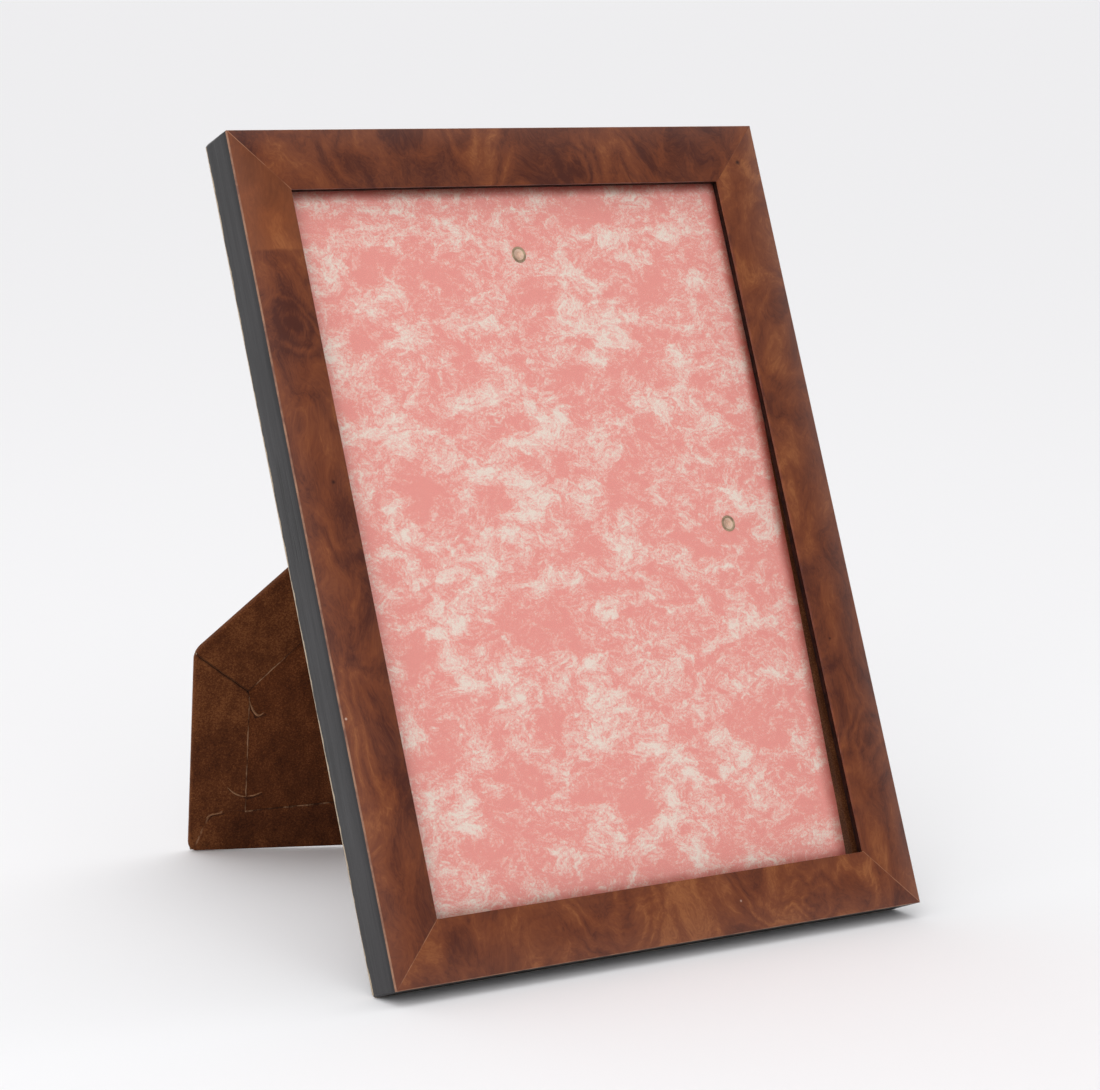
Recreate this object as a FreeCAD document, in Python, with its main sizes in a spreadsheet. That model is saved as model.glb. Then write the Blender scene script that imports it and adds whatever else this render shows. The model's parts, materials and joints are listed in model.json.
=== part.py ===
import FreeCAD, Part

import math
import os

import Sketcher

# A standing picture frame for an 18 x 24 cm photograph: a mitred wooden moulding faced with
# veneer, a glass pane, and a velvet-covered back with a folding two-way strut.
#
# Everything is drawn in the frame's own axes: X to the right, Y towards the back, Z up the
# moulding, with the moulding's back face on Y = 0 and its bottom face on Z = 0. Placements
# then lean the frame back and open the strut, so that the object stands on Z = 0.

Vector = FreeCAD.Vector
Placement = FreeCAD.Placement
Rotation = FreeCAD.Rotation

DRIVING_SIZES = [
    ("width", 210.0),            # outside of the moulding
    ("height", 270.0),
    ("depth", 14.0),             # front of the veneer to the back of the moulding
    ("moulding", 19.5),          # width of the front face
    ("wall", 14.3),              # width of the moulding behind the lip
    ("lip", 3.0),                # lip with its veneer
    ("veneer", 0.8),
    ("arris", 0.8),              # rounding of the long outer back edges
    ("glass", 2.0),
    ("side_gap", 0.3),           # glass and back to the rebate's walls
    ("lining_front", 8.5),       # lining's face, ahead of the moulding's back face
    ("paper", 0.3),
    ("turn_in", 0.6),            # velvet folded over a board's edges
    ("turn_in_width", 15.0),
    ("back_board", 6.4),
    ("back_velvet", 0.8),
    ("lining_inset", 3.1),       # lining's left, top and bottom edges to the rebate's walls
    ("lining_right_top", 0.7),   # its right edge to the wall, at the top
    ("lining_right_bottom", 9.0),
    ("lean", 22.1),              # degrees from upright
    ("strut_tilt", 33.8),        # strut's long axis, degrees from the frame's own upright
    ("strut_tip", 9.0),          # folded strut's square corner, in from both outside edges
    ("strut_length", 236.3),     # from the pin to the square corner
    ("strut_side", 78.0),        # landscape foot edge
    ("strut_foot", 66.0),        # portrait foot edge
    ("strut_head", 20.0),        # width at the hinge
    ("strut_board", 2.4),
    ("strut_velvet", 0.7),
    ("strut_lift", 0.8),         # inner face above the moulding's back face when folded
    ("strut_panel", 0.35),
    ("corner_round", 3.0),
    ("pin_height", 1.7),         # pin above the moulding's back face
    ("pin_radius", 0.9),
    ("knuckle_radius", 2.0),
    ("leaf_width", 18.0),
    ("leaf_length", 20.0),
    ("leaf", 0.9),
    ("running_gap", 0.05),
    ("button", 0.9),
    ("button_reach", 13.5),
    ("rivet_radius", 1.5),
    ("rivet_bore", 1.0),
    ("rivet_rim", 2.75),
    ("rivet_head", 2.3),
    ("ring_radius", 7.0),
    ("ring_wire", 0.6),
    ("tab", 0.6),
]

# Places of repeated fittings, in the frame's own X and Z.
TOP_RIVET = (0.0, 228.3)
SIDE_RIVET = (62.4, 133.7)
BUTTONS = [  # name, X, Z, turn about Y that points the button inwards
    ("turn_button_top_left", -55.0, 262.8, 90.0),
    ("turn_button_top_right", 55.0, 262.8, 90.0),
    ("turn_button_left", -97.8, 178.0, 0.0),
    ("turn_button_right_upper", 97.8, 205.0, 180.0),
    ("turn_button_right_lower", 97.8, 62.0, 180.0),
    ("turn_button_bottom", 45.0, 7.2, -90.0),
]
LEAF_RIVETS = (8.5, 15.5)        # distances of the rivets from the pin
LEAF_RIVET_RADIUS = 1.2
BUTTON_SCREW_RADIUS = 1.1

doc = FreeCAD.newDocument("picture_frame")
sheet = doc.addObject("Spreadsheet::Sheet", "sizes")
for row, (alias, value) in enumerate(DRIVING_SIZES, start=1):
    sheet.set("A%d" % row, alias)
    sheet.set("B%d" % row, str(value))
    sheet.setAlias("B%d" % row, alias)
doc.recompute()


def size(alias):
    """A driving size as a number."""
    return float(sheet.get(alias))


# ---------------------------------------------------------------- sketches, pads and pockets


def new_body(name):
    body = doc.addObject("PartDesign::Body", name)
    body.Label = name
    return body


def front_sketch(body, name, ahead):
    """A sketch seen from the front, on the body's XZ plane moved ahead (towards -Y)."""
    sketch = body.newObject("Sketcher::SketchObject", name)
    plane = [f for f in body.Origin.OriginFeatures if f.Role == "XZ_Plane"][0]
    sketch.AttachmentSupport = [(plane, "")]
    sketch.MapMode = "FlatFace"
    sketch.setExpression("AttachmentOffset.Base.z", ahead)
    return sketch


def draw_polygon(sketch, corners):
    """Closed outline whose corners are pairs of expressions, or of plain numbers."""
    values = [tuple(evaluate(sketch, c) for c in corner) for corner in corners]
    count = len(values)
    for i, start in enumerate(values):
        end = values[(i + 1) % count]
        sketch.addGeometry(Part.LineSegment(Vector(*start, 0), Vector(*end, 0)), False)
    for i in range(count):
        sketch.addConstraint(Sketcher.Constraint("Coincident", i, 2, (i + 1) % count, 1))
    for i, corner in enumerate(corners):
        for kind, term, value in zip(("DistanceX", "DistanceY"), corner, values[i]):
            index = sketch.addConstraint(Sketcher.Constraint(kind, -1, 1, i, 1, value))
            if isinstance(term, str):
                sketch.setExpression("Constraints[%d]" % index, term)


def evaluate(sketch, term):
    return float(sketch.evalExpression(term)) if isinstance(term, str) else float(term)


def draw_circles(sketch, centres, radius):
    for centre in centres:
        circle = sketch.addGeometry(Part.Circle(Vector(*centre, 0), Vector(0, 0, 1), radius), False)
        sketch.addConstraint(Sketcher.Constraint("Block", circle))


def pad(body, sketch, thickness):
    """Extrude a front sketch backwards."""
    feature = body.newObject("PartDesign::Pad", sketch.Name + "_pad")
    feature.Profile = sketch
    feature.setExpression("Length", thickness)
    feature.Reversed = True
    doc.recompute()
    return feature


def pocket(body, sketch, depth):
    """Cut a front sketch backwards, and make sure that it removed something."""
    before = body.Shape.Volume
    feature = body.newObject("PartDesign::Pocket", sketch.Name + "_pocket")
    feature.Profile = sketch
    feature.setExpression("Length", depth)
    doc.recompute()
    if not body.Shape.Volume < before:
        raise RuntimeError(sketch.Name + " cut nothing")
    return feature


def plate(body, name, corners, ahead, thickness):
    sketch = front_sketch(body, name, ahead)
    draw_polygon(sketch, corners)
    return pad(body, sketch, thickness)


def recess(body, name, corners, ahead, depth):
    sketch = front_sketch(body, name, ahead)
    draw_polygon(sketch, corners)
    return pocket(body, sketch, depth)


def drill(body, name, centres, radius, ahead, depth):
    sketch = front_sketch(body, name, ahead)
    draw_circles(sketch, centres, radius)
    return pocket(body, sketch, depth)


def round_corners(body, feature, corners, radius):
    """Fillet the edges that run front to back through the given corners."""
    names = []
    for number, edge in enumerate(feature.Shape.Edges, start=1):
        middle = edge.CenterOfMass
        upright = abs(edge.BoundBox.YLength - edge.Length) < 1e-6
        near = any(math.hypot(middle.x - x, middle.z - z) < 0.01 for x, z in corners)
        if upright and near:
            names.append("Edge%d" % number)
    fillet = body.newObject("PartDesign::Fillet", body.Name + "_rounds")
    fillet.Base = (feature, names)
    fillet.setExpression("Radius", radius)
    doc.recompute()
    return fillet


# ---------------------------------------------------------------- primitives and booleans


def primitive(kind, name, place, **lengths):
    """A Part primitive: numbers are set, and strings are bound to the sheet."""
    shape = doc.addObject("Part::" + kind, name)
    for key, term in lengths.items():
        if isinstance(term, str):
            shape.setExpression(key, term)
        else:
            setattr(shape, key, term)
    shape.Placement = place
    return shape


def combine(kind, name, pieces):
    """Part::MultiFuse of all the pieces, or Part::Cut of the first by the second."""
    result = doc.addObject("Part::" + kind, name)
    if kind == "Cut":
        result.Base, result.Tool = pieces
    else:
        result.Shapes = pieces
    result.Label = name
    return result


def at(x, y, z, axis=(0, 0, 1), angle=0.0):
    return Placement(Vector(x, y, z), Rotation(Vector(*axis), angle))


def along_y(x, y, z):
    """A cylinder placed here runs backwards, towards +Y."""
    return at(x, y, z, (1, 0, 0), -90)


def along_x(x, y, z):
    """A cylinder placed here runs towards +X."""
    return at(x, y, z, (0, 1, 0), 90)


def shape_group(name, solids):
    """Separate, identical fasteners that share one node."""
    feature = doc.addObject("Part::Feature", name)
    feature.Shape = Part.makeCompound(solids)
    feature.Label = name
    return feature


# ---------------------------------------------------------------- moulding and glass

SIDES = ("top", "bottom", "left", "right")


def mitred(side, breadth):
    """Outline of one mitred member as expressions; breadth is its width across."""
    half, top = "sizes.width / 2", "sizes.height"
    outer_left, outer_right = "-" + half, half
    inner_left, inner_right = "-%s + %s" % (half, breadth), "%s - %s" % (half, breadth)
    inner_top, inner_bottom = "%s - %s" % (top, breadth), breadth
    return {
        "top": [(outer_left, top), (outer_right, top),
                (inner_right, inner_top), (inner_left, inner_top)],
        "bottom": [(outer_left, 0.0), (outer_right, 0.0),
                   (inner_right, inner_bottom), (inner_left, inner_bottom)],
        "left": [(outer_left, 0.0), (inner_left, inner_bottom),
                 (inner_left, inner_top), (outer_left, top)],
        "right": [(outer_right, 0.0), (inner_right, inner_bottom),
                  (inner_right, inner_top), (outer_right, top)],
    }[side]


def member(side, name):
    """One length of moulding: a lip at the front and a narrower wall behind it."""
    body = new_body(name)
    plate(body, name + "_lip", mitred(side, "sizes.moulding"),
          "sizes.depth - sizes.veneer", "sizes.lip - sizes.veneer")
    wall = plate(body, name + "_wall", mitred(side, "sizes.wall"),
                 "sizes.depth - sizes.lip", "sizes.depth - sizes.lip")
    soften_back_edge(body, wall, side)
    return body


def soften_back_edge(body, feature, side):
    """Round the long outer edge at the back of the moulding."""
    half, top = size("width") / 2, size("height")
    outside = {"top": (None, top), "bottom": (None, 0.0),
               "left": (-half, None), "right": (half, None)}[side]
    for number, edge in enumerate(feature.Shape.Edges, start=1):
        middle = edge.CenterOfMass
        on_back = abs(middle.y) < 1e-6
        on_side = all(want is None or abs(have - want) < 1e-6
                      for want, have in zip(outside, (middle.x, middle.z)))
        if on_back and on_side:
            fillet = body.newObject("PartDesign::Fillet", body.Name + "_arris")
            fillet.Base = (feature, ["Edge%d" % number])
            fillet.setExpression("Radius", "sizes.arris")
            doc.recompute()
            return
    raise RuntimeError(body.Name + " has no outer back edge")


def veneer(side, name):
    body = new_body(name)
    plate(body, name + "_sheet", mitred(side, "sizes.moulding"), "sizes.depth", "sizes.veneer")
    return body


def inset_rectangle(gap):
    """The rebate's rectangle, smaller by gap all round."""
    inset = "(sizes.wall + %s)" % gap
    left, right = "-sizes.width / 2 + " + inset, "sizes.width / 2 - " + inset
    bottom, top = inset, "sizes.height - " + inset
    return [(left, bottom), (right, bottom), (right, top), (left, top)]


def glass_pane():
    body = new_body("glass_pane")
    plate(body, "glass_sheet", inset_rectangle("sizes.side_gap"),
          "sizes.depth - sizes.lip", "sizes.glass")
    return body


def corner_v_nails():
    """Two folded steel nails across each mitre, pressed in from the back."""
    leg, thick, deep, sunk = 5.0, 0.5, 7.0, 0.3
    nails = []
    for right in (-1, 1):
        for up in (0, 1):
            for reach in (4.5, 9.5):
                x = right * (size("width") / 2 - reach)
                z = size("height") - reach if up else reach
                diagonal = math.degrees(math.atan2(1 if up else -1, right))
                arms = []
                for spread in (-135, 135):
                    arm = Part.makeBox(leg, deep, thick, Vector(0, -deep - sunk, -thick / 2))
                    arm.rotate(Vector(), Vector(0, 1, 0), -(diagonal + spread))
                    arms.append(arm)
                nail = arms[0].fuse(arms[1]).removeSplitter()
                nail.translate(Vector(x, 0, z))
                nails.append(nail)
    return shape_group("corner_v_nails", nails)


# ---------------------------------------------------------------- back

BACK_FRONT = "sizes.lining_front - sizes.paper"          # front of the turned-in velvet


def tubular_rivet_places():
    return [TOP_RIVET, SIDE_RIVET]


def frame_point(distance, sideways=0.0):
    """A point on the back, from the strut's pin: distance up its long axis, and across it."""
    tilt = math.radians(size("strut_tilt"))
    foot_x, foot_z = pin_foot()
    return (foot_x + distance * math.sin(tilt) + sideways * math.cos(tilt),
            foot_z + distance * math.cos(tilt) - sideways * math.sin(tilt))


def pin_foot():
    """Where the strut's long axis crosses its pin."""
    tilt = math.radians(size("strut_tilt"))
    return (size("strut_tip") - size("width") / 2 + size("strut_length") * math.sin(tilt),
            size("strut_tip") + size("strut_length") * math.cos(tilt))


def back_board():
    body = new_body("back_board")
    plate(body, "back_board_sheet", inset_rectangle("sizes.side_gap + sizes.turn_in"),
          BACK_FRONT + " - sizes.turn_in", "sizes.back_board")
    drill_back(body, "back_board")
    return body


def drill_back(body, name):
    """Holes for the ring rivets and for the rivets of the hinge's fixed leaf."""
    drill(body, name + "_ring_holes", tubular_rivet_places(), size("rivet_radius"),
          "sizes.lining_front + 1", "sizes.lining_front + 1")
    drill(body, name + "_leaf_holes", [frame_point(d) for d in LEAF_RIVETS],
          LEAF_RIVET_RADIUS, "sizes.lining_front + 1", "sizes.lining_front + 1")


def back_cover():
    """Velvet over the back and round its edges, turned in on the side of the glass."""
    body = new_body("back_cover")
    plate(body, "back_cover_block", inset_rectangle("sizes.side_gap"),
          BACK_FRONT, "sizes.turn_in + sizes.back_board + sizes.back_velvet")
    recess(body, "back_cover_window", inset_rectangle("sizes.side_gap + sizes.turn_in_width"),
           BACK_FRONT, "sizes.turn_in")
    recess(body, "back_cover_board_space", inset_rectangle("sizes.side_gap + sizes.turn_in"),
           BACK_FRONT + " - sizes.turn_in", "sizes.back_board")
    drill_back(body, "back_cover")
    return body


def back_lining():
    """Paper behind the glass, cut a little out of square along its right edge."""
    (left, bottom), _, (_, top), _ = inset_rectangle("sizes.lining_inset")
    right = "sizes.width / 2 - sizes.wall - sizes.lining_right_"
    corners = [(left, bottom), (right + "bottom", bottom), (right + "top", top), (left, top)]
    body = new_body("back_lining")
    plate(body, "back_lining_sheet", corners, "sizes.lining_front", "sizes.paper")
    drill(body, "back_lining_holes", tubular_rivet_places(), size("rivet_radius"),
          "sizes.lining_front", "sizes.paper")
    return body


def turn_button(name):
    """A flat brass button with round ends, drawn along +X from its screw."""
    big, small = 4.0, 3.0
    reach = size("button_reach")
    lean_in = math.acos((big - small) / reach)
    corners = [(r * math.cos(lean_in) + x, side * r * math.sin(lean_in))
               for x, r, side in ((0, big, 1), (reach, small, 1), (reach, small, -1), (0, big, -1))]
    body = new_body(name)
    sketch = front_sketch(body, name + "_outline", "-(sizes.button + sizes.running_gap)")
    vectors = [Vector(x, z, 0) for x, z in corners]
    edges = [
        Part.LineSegment(vectors[0], vectors[1]),
        Part.Arc(vectors[1], Vector(reach + small, 0, 0), vectors[2]),
        Part.LineSegment(vectors[2], vectors[3]),
        Part.Arc(vectors[3], Vector(-big, 0, 0), vectors[0]),
    ]
    for edge in edges:
        index = sketch.addGeometry(edge, False)
        sketch.addConstraint(Sketcher.Constraint("Block", index))
    feature = body.newObject("PartDesign::Pad", name + "_pad")
    feature.Profile = sketch
    feature.setExpression("Length", "sizes.button")
    doc.recompute()
    drill(body, name + "_hole", [(0, 0)], BUTTON_SCREW_RADIUS + size("running_gap"),
          "0", "2 * sizes.button")
    return body


def button_screws():
    """One round-headed wood screw through each turn button."""
    head, head_height, into_wood = 2.6, 1.3, 9.0
    seat = size("button") + 2 * size("running_gap")
    screws = []
    for _, x, z, _ in BUTTONS:
        shank = Part.makeCylinder(BUTTON_SCREW_RADIUS, seat + into_wood,
                                  Vector(x, -into_wood, z), Vector(0, 1, 0))
        ball = (head ** 2 + head_height ** 2) / (2 * head_height)
        dome = Part.makeSphere(ball, Vector(x, seat + head_height - ball, z))
        seat_block = Part.makeBox(4 * head, head_height, 4 * head,
                                  Vector(x - 2 * head, seat, z - 2 * head))
        screws.append(shank.fuse(dome.common(seat_block)).removeSplitter())
    return shape_group("turn_button_screws", screws)


# ---------------------------------------------------------------- hanging rings


def tubular_rivet(name, place):
    """A rivet with a flat head on the ring's tab and a hollow end rolled over on the lining."""
    x, z = place
    front, back = -size("lining_front"), size("tab") - back_skin()
    roll, cup = 0.32, 2.6
    barrel = primitive("Cylinder", name + "_barrel", along_y(x, front - roll, z),
                       Radius="sizes.rivet_radius", Height=back - front + 2 * roll)
    flanges = [
        primitive("Cylinder", name + "_rim", along_y(x, front - roll, z),
                  Radius="sizes.rivet_rim", Height=roll),
        primitive("Cylinder", name + "_head", along_y(x, back, z),
                  Radius="sizes.rivet_head", Height=roll),
    ]
    body = combine("MultiFuse", name + "_solid", [barrel] + flanges)
    bore = primitive("Cylinder", name + "_bore", along_y(x, front - 1, z),
                     Radius="sizes.rivet_bore", Height=1 + cup)
    return combine("Cut", name, [body, bore])


def back_skin():
    """How far the velvet's outer face lies inside the moulding's back face."""
    return (size("lining_front") - size("paper") - size("turn_in")
            - size("back_board") - size("back_velvet"))


RING_LOOP_LENGTH = 2.6
RING_LOOP_BORE = 0.9
RING_LOOP_RADIUS = 1.45
RING_DISTANCE = 7.6              # from the rivet to the loop that holds the ring


def ring_loop_height():
    return RING_LOOP_RADIUS - back_skin()


def hanging_tab(name):
    """A brass tab with an eye for its rivet and a rolled loop, drawn with the loop towards +Z."""
    eye_radius, seat = 3.4, -back_skin()
    eye = primitive("Cylinder", name + "_eye", along_y(0, seat, 0), Radius=eye_radius, Height="sizes.tab")
    neck = primitive("Box", name + "_neck", at(-RING_LOOP_LENGTH / 2, seat, 0),
                     Length=RING_LOOP_LENGTH, Width="sizes.tab", Height=RING_DISTANCE)
    loop = primitive("Cylinder", name + "_loop",
                     along_x(-RING_LOOP_LENGTH / 2, ring_loop_height(), RING_DISTANCE),
                     Radius=RING_LOOP_RADIUS, Height=RING_LOOP_LENGTH)
    solid = combine("MultiFuse", name + "_solid", [eye, neck, loop])
    rivet_hole = primitive("Cylinder", name + "_rivet_hole", along_y(0, -2, 0),
                           Radius="sizes.rivet_radius", Height=4)
    ring_hole = primitive("Cylinder", name + "_ring_hole",
                          along_x(-RING_LOOP_LENGTH, ring_loop_height(), RING_DISTANCE),
                          Radius=RING_LOOP_BORE, Height=2 * RING_LOOP_LENGTH)
    holes = combine("MultiFuse", name + "_holes", [rivet_hole, ring_hole])
    return combine("Cut", name, [solid, holes])


def hanging_ring(name, swing):
    """A wire ring that passes through the tab's loop, swung out from the back by an angle."""
    ring = primitive("Torus", name, at(0, 0, 0), Radius1="sizes.ring_radius", Radius2="sizes.ring_wire")
    ring.Label = name
    angle = math.radians(swing)
    radius = size("ring_radius")
    middle = Vector(0, ring_loop_height() + radius * math.sin(angle),
                    RING_DISTANCE - radius * math.cos(angle))
    ring.Placement = Placement(middle, Rotation(Vector(1, 0, 0), 90 + swing))
    return ring


# ---------------------------------------------------------------- strut


def strut_outline():
    """Folded outline, clockwise from the square corner: two foot edges and a long taper."""
    tip_x, tip_z = size("strut_tip") - size("width") / 2, size("strut_tip")
    tilt = math.radians(size("strut_tilt"))
    side = (tip_x, tip_z + size("strut_side"))
    foot = (tip_x + size("strut_foot"), tip_z)
    half_head = size("strut_head") / 2
    head_gap = 2.8
    head_left = frame_point(-head_gap, -half_head)
    head_right = frame_point(-head_gap, half_head)
    # The upper edge leaves the landscape foot at 45 degrees and meets the head's side.
    along = (math.sin(tilt), math.cos(tilt))
    reach = solve_crossing(side, (math.sqrt(0.5), math.sqrt(0.5)), head_left, along)
    neck_left = (side[0] + reach * math.sqrt(0.5), side[1] + reach * math.sqrt(0.5))
    neck_drop = math.hypot(head_left[0] - neck_left[0], head_left[1] - neck_left[1])
    neck_right = (head_right[0] - neck_drop * along[0], head_right[1] - neck_drop * along[1])
    return [(tip_x, tip_z), side, neck_left, head_left, head_right, neck_right, foot]


def solve_crossing(start, direction, other, other_direction):
    """Distance from start, along direction, to a second line."""
    dx, dz = other[0] - start[0], other[1] - start[1]
    across = direction[0] * other_direction[1] - direction[1] * other_direction[0]
    return (dx * other_direction[1] - dz * other_direction[0]) / across


def offset_edge(start, end, inset):
    """A clockwise outline's edge, moved inwards, as a point and a unit direction."""
    dx, dz = end[0] - start[0], end[1] - start[1]
    length = math.hypot(dx, dz)
    dx, dz = dx / length, dz / length
    return (start[0] + inset * dz, start[1] - inset * dx), (dx, dz)


def inset_outline(corners, insets):
    """A clockwise outline moved inwards, each edge by its own inset; None leaves an edge out."""
    pairs = zip(corners, corners[1:] + corners[:1], insets)
    edges = [offset_edge(a, b, inset) for a, b, inset in pairs if inset is not None]
    result = []
    for before, after in zip(edges[-1:] + edges[:-1], edges):
        reach = solve_crossing(before[0], before[1], after[0], after[1])
        result.append((before[0][0] + reach * before[1][0], before[0][1] + reach * before[1][1]))
    return result


def strut_window():
    """Inner edge of the turned-in velvet: left, upper and right flaps, and the foot's flap."""
    return inset_outline(strut_outline(), [19.4, 22.0, None, None, None, 20.0, 17.0])


STRUT_INNER = "-sizes.strut_lift"


def strut_rivet_places():
    return [frame_point(-d) for d in LEAF_RIVETS]


def strut_board():
    body = new_body("strut_board")
    edge = size("turn_in")
    corners = inset_outline(strut_outline(), [edge] * 7)
    plate(body, "strut_board_sheet", corners, STRUT_INNER + " - sizes.turn_in", "sizes.strut_board")
    drill(body, "strut_board_holes", strut_rivet_places(), LEAF_RIVET_RADIUS,
          STRUT_INNER, "10 * sizes.strut_board")
    return body


def strut_cover():
    """Velvet over the strut's outer side and edges, turned in round a window on the inner side."""
    body = new_body("strut_cover")
    outline = strut_outline()
    block = plate(body, "strut_cover_block", outline, STRUT_INNER,
                  "sizes.turn_in + sizes.strut_board + sizes.strut_velvet")
    round_corners(body, block, [outline[0], outline[1], outline[6]], "sizes.corner_round")
    edge = size("turn_in")
    recess(body, "strut_cover_window", strut_window(), STRUT_INNER, "sizes.turn_in")
    recess(body, "strut_cover_board_space", inset_outline(outline, [edge] * 7),
           STRUT_INNER + " - sizes.turn_in", "sizes.strut_board")
    drill(body, "strut_cover_holes", strut_rivet_places(), LEAF_RIVET_RADIUS,
          STRUT_INNER + " + 1", "10 * sizes.strut_board")
    return body


def strut_lining():
    """The velvet panel between the turned-in flaps, lower than they are."""
    body = new_body("strut_lining")
    plate(body, "strut_lining_sheet", strut_window(),
          STRUT_INNER + " - sizes.turn_in + sizes.strut_panel", "sizes.strut_panel")
    return body


# ---------------------------------------------------------------- hinge
# Drawn with the pin along X through the origin's height, and the fixed leaf towards +Z.

CENTRE_KNUCKLE = 3.0             # half its length
KNUCKLE_GAP = 0.2


def hinge_leaf_fixed():
    half = size("leaf_width") / 2
    outer = half - CENTRE_KNUCKLE - KNUCKLE_GAP
    leaf = primitive("Box", "fixed_leaf_plate", at(-half, -back_skin(), 0), Length="sizes.leaf_width",
                     Width="sizes.leaf", Height="sizes.leaf_length")
    knuckles = [
        primitive("Cylinder", "fixed_knuckle_%d" % i, along_x(x, size("pin_height"), 0),
                  Radius="sizes.knuckle_radius", Height=outer)
        for i, x in enumerate((-half, CENTRE_KNUCKLE + KNUCKLE_GAP))
    ]
    solid = combine("MultiFuse", "fixed_leaf_solid", [leaf] + knuckles)
    slot = primitive("Box", "fixed_leaf_slot",
                     at(-CENTRE_KNUCKLE - KNUCKLE_GAP, -3, -3), Length=2 * (CENTRE_KNUCKLE + KNUCKLE_GAP),
                     Width=8, Height=5.6)
    bore = primitive("Cylinder", "fixed_leaf_bore", along_x(-half - 1, size("pin_height"), 0),
                     Radius="sizes.pin_radius", Height="sizes.leaf_width + 2")
    holes = [
        primitive("Cylinder", "fixed_leaf_hole_%d" % i, along_y(0, -3, d),
                  Radius=LEAF_RIVET_RADIUS, Height=8)
        for i, d in enumerate(LEAF_RIVETS)
    ]
    return combine("Cut", "hinge_leaf_fixed",
                   [solid, combine("MultiFuse", "fixed_leaf_cuts", [slot, bore] + holes)])


def hinge_leaf_moving(opening):
    """Leaf under the strut's inner face, with a tail that stops on the fixed leaf when open."""
    half = size("leaf_width") / 2 - 0.5
    pin = size("pin_height")
    under = size("strut_lift") - size("leaf")
    leaf = primitive("Box", "moving_leaf_plate", at(-half, under, -size("leaf_length")),
                     Length=2 * half, Width="sizes.leaf", Height=size("leaf_length") - 2.6)
    neck = primitive("Box", "moving_leaf_neck", at(-CENTRE_KNUCKLE, under, -size("leaf_length")),
                     Length=2 * CENTRE_KNUCKLE, Width="sizes.leaf", Height="sizes.leaf_length")
    knuckle = primitive("Cylinder", "moving_knuckle", along_x(-CENTRE_KNUCKLE, pin, 0),
                        Radius="sizes.knuckle_radius - 0.2", Height=2 * CENTRE_KNUCKLE)
    tail_length = 5.7            # it stops short of the fixed leaf's rivet heads
    tail = primitive("Box", "moving_leaf_tail", at(0, 0, 0), Length=2 * CENTRE_KNUCKLE - 0.4,
                     Width="sizes.leaf", Height=tail_length)
    # The tail is drawn lying on the fixed leaf, then turned back by the opening angle.
    resting = at(-CENTRE_KNUCKLE + 0.2, size("leaf") - back_skin() + size("running_gap"), 0)
    tail.Placement = about_pin(-opening).multiply(resting)
    solid = combine("MultiFuse", "moving_leaf_solid", [leaf, neck, knuckle, tail])
    bore = primitive("Cylinder", "moving_leaf_bore", along_x(-CENTRE_KNUCKLE - 1, pin, 0),
                     Radius="sizes.pin_radius + sizes.running_gap", Height=2 * CENTRE_KNUCKLE + 2)
    holes = [
        primitive("Cylinder", "moving_leaf_hole_%d" % i, along_y(0, -3, -d),
                  Radius=LEAF_RIVET_RADIUS, Height=8)
        for i, d in enumerate(LEAF_RIVETS)
    ]
    return combine("Cut", "hinge_leaf_moving",
                   [solid, combine("MultiFuse", "moving_leaf_cuts", [bore] + holes)])


def hinge_pin():
    half, head, head_radius = size("leaf_width") / 2, 0.6, 1.4
    height = size("pin_height")
    shaft = primitive("Cylinder", "hinge_pin_shaft", along_x(-half - head, height, 0),
                      Radius="sizes.pin_radius", Height=2 * (half + head))
    heads = [
        primitive("Cylinder", "hinge_pin_head_%d" % i, along_x(x, height, 0),
                  Radius=head_radius, Height=head)
        for i, x in enumerate((-half - head, half))
    ]
    return combine("MultiFuse", "hinge_pin", [shaft] + heads)


def solid_rivet(z, start, end):
    """A rivet along +Y with a domed head beyond its end."""
    head_radius, head_height = 2.4, 0.9
    shank = Part.makeCylinder(LEAF_RIVET_RADIUS, end - start, Vector(0, start, z), Vector(0, 1, 0))
    ball = (head_radius ** 2 + head_height ** 2) / (2 * head_height)
    dome = Part.makeSphere(ball, Vector(0, end + head_height - ball, z))
    block = Part.makeBox(4 * head_radius, head_height, 4 * head_radius,
                         Vector(-2 * head_radius, end, z - 2 * head_radius))
    return shank.fuse(dome.common(block)).removeSplitter()


def hinge_rivets_back():
    inner = -(size("lining_front") - size("paper") - size("turn_in"))
    face = size("leaf") - back_skin()
    return shape_group("hinge_rivets_back", [solid_rivet(d, inner, face) for d in LEAF_RIVETS])


def hinge_rivets_strut():
    inner = size("strut_lift") - size("leaf")
    outer = size("strut_lift") + size("turn_in") + size("strut_board") + size("strut_velvet")
    return shape_group("hinge_rivets_strut", [solid_rivet(-d, inner, outer) for d in LEAF_RIVETS])


# ---------------------------------------------------------------- placing


def about_pin(angle):
    """A turn about the pin, in the hinge's own axes."""
    pin = Vector(0, size("pin_height"), 0)
    return Placement(Vector(), Rotation(Vector(1, 0, 0), angle), pin)


def on_pin():
    """From the hinge's own axes to the frame's."""
    x, z = pin_foot()
    return Placement(Vector(x, 0, z), Rotation(Vector(0, 1, 0), size("strut_tilt")))


def strut_turn(angle):
    """The strut's turn about its pin, in the frame's axes."""
    return on_pin().multiply(about_pin(angle)).multiply(on_pin().inverse())


def leaning():
    return Placement(Vector(), Rotation(Vector(1, 0, 0), -size("lean")))


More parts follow.
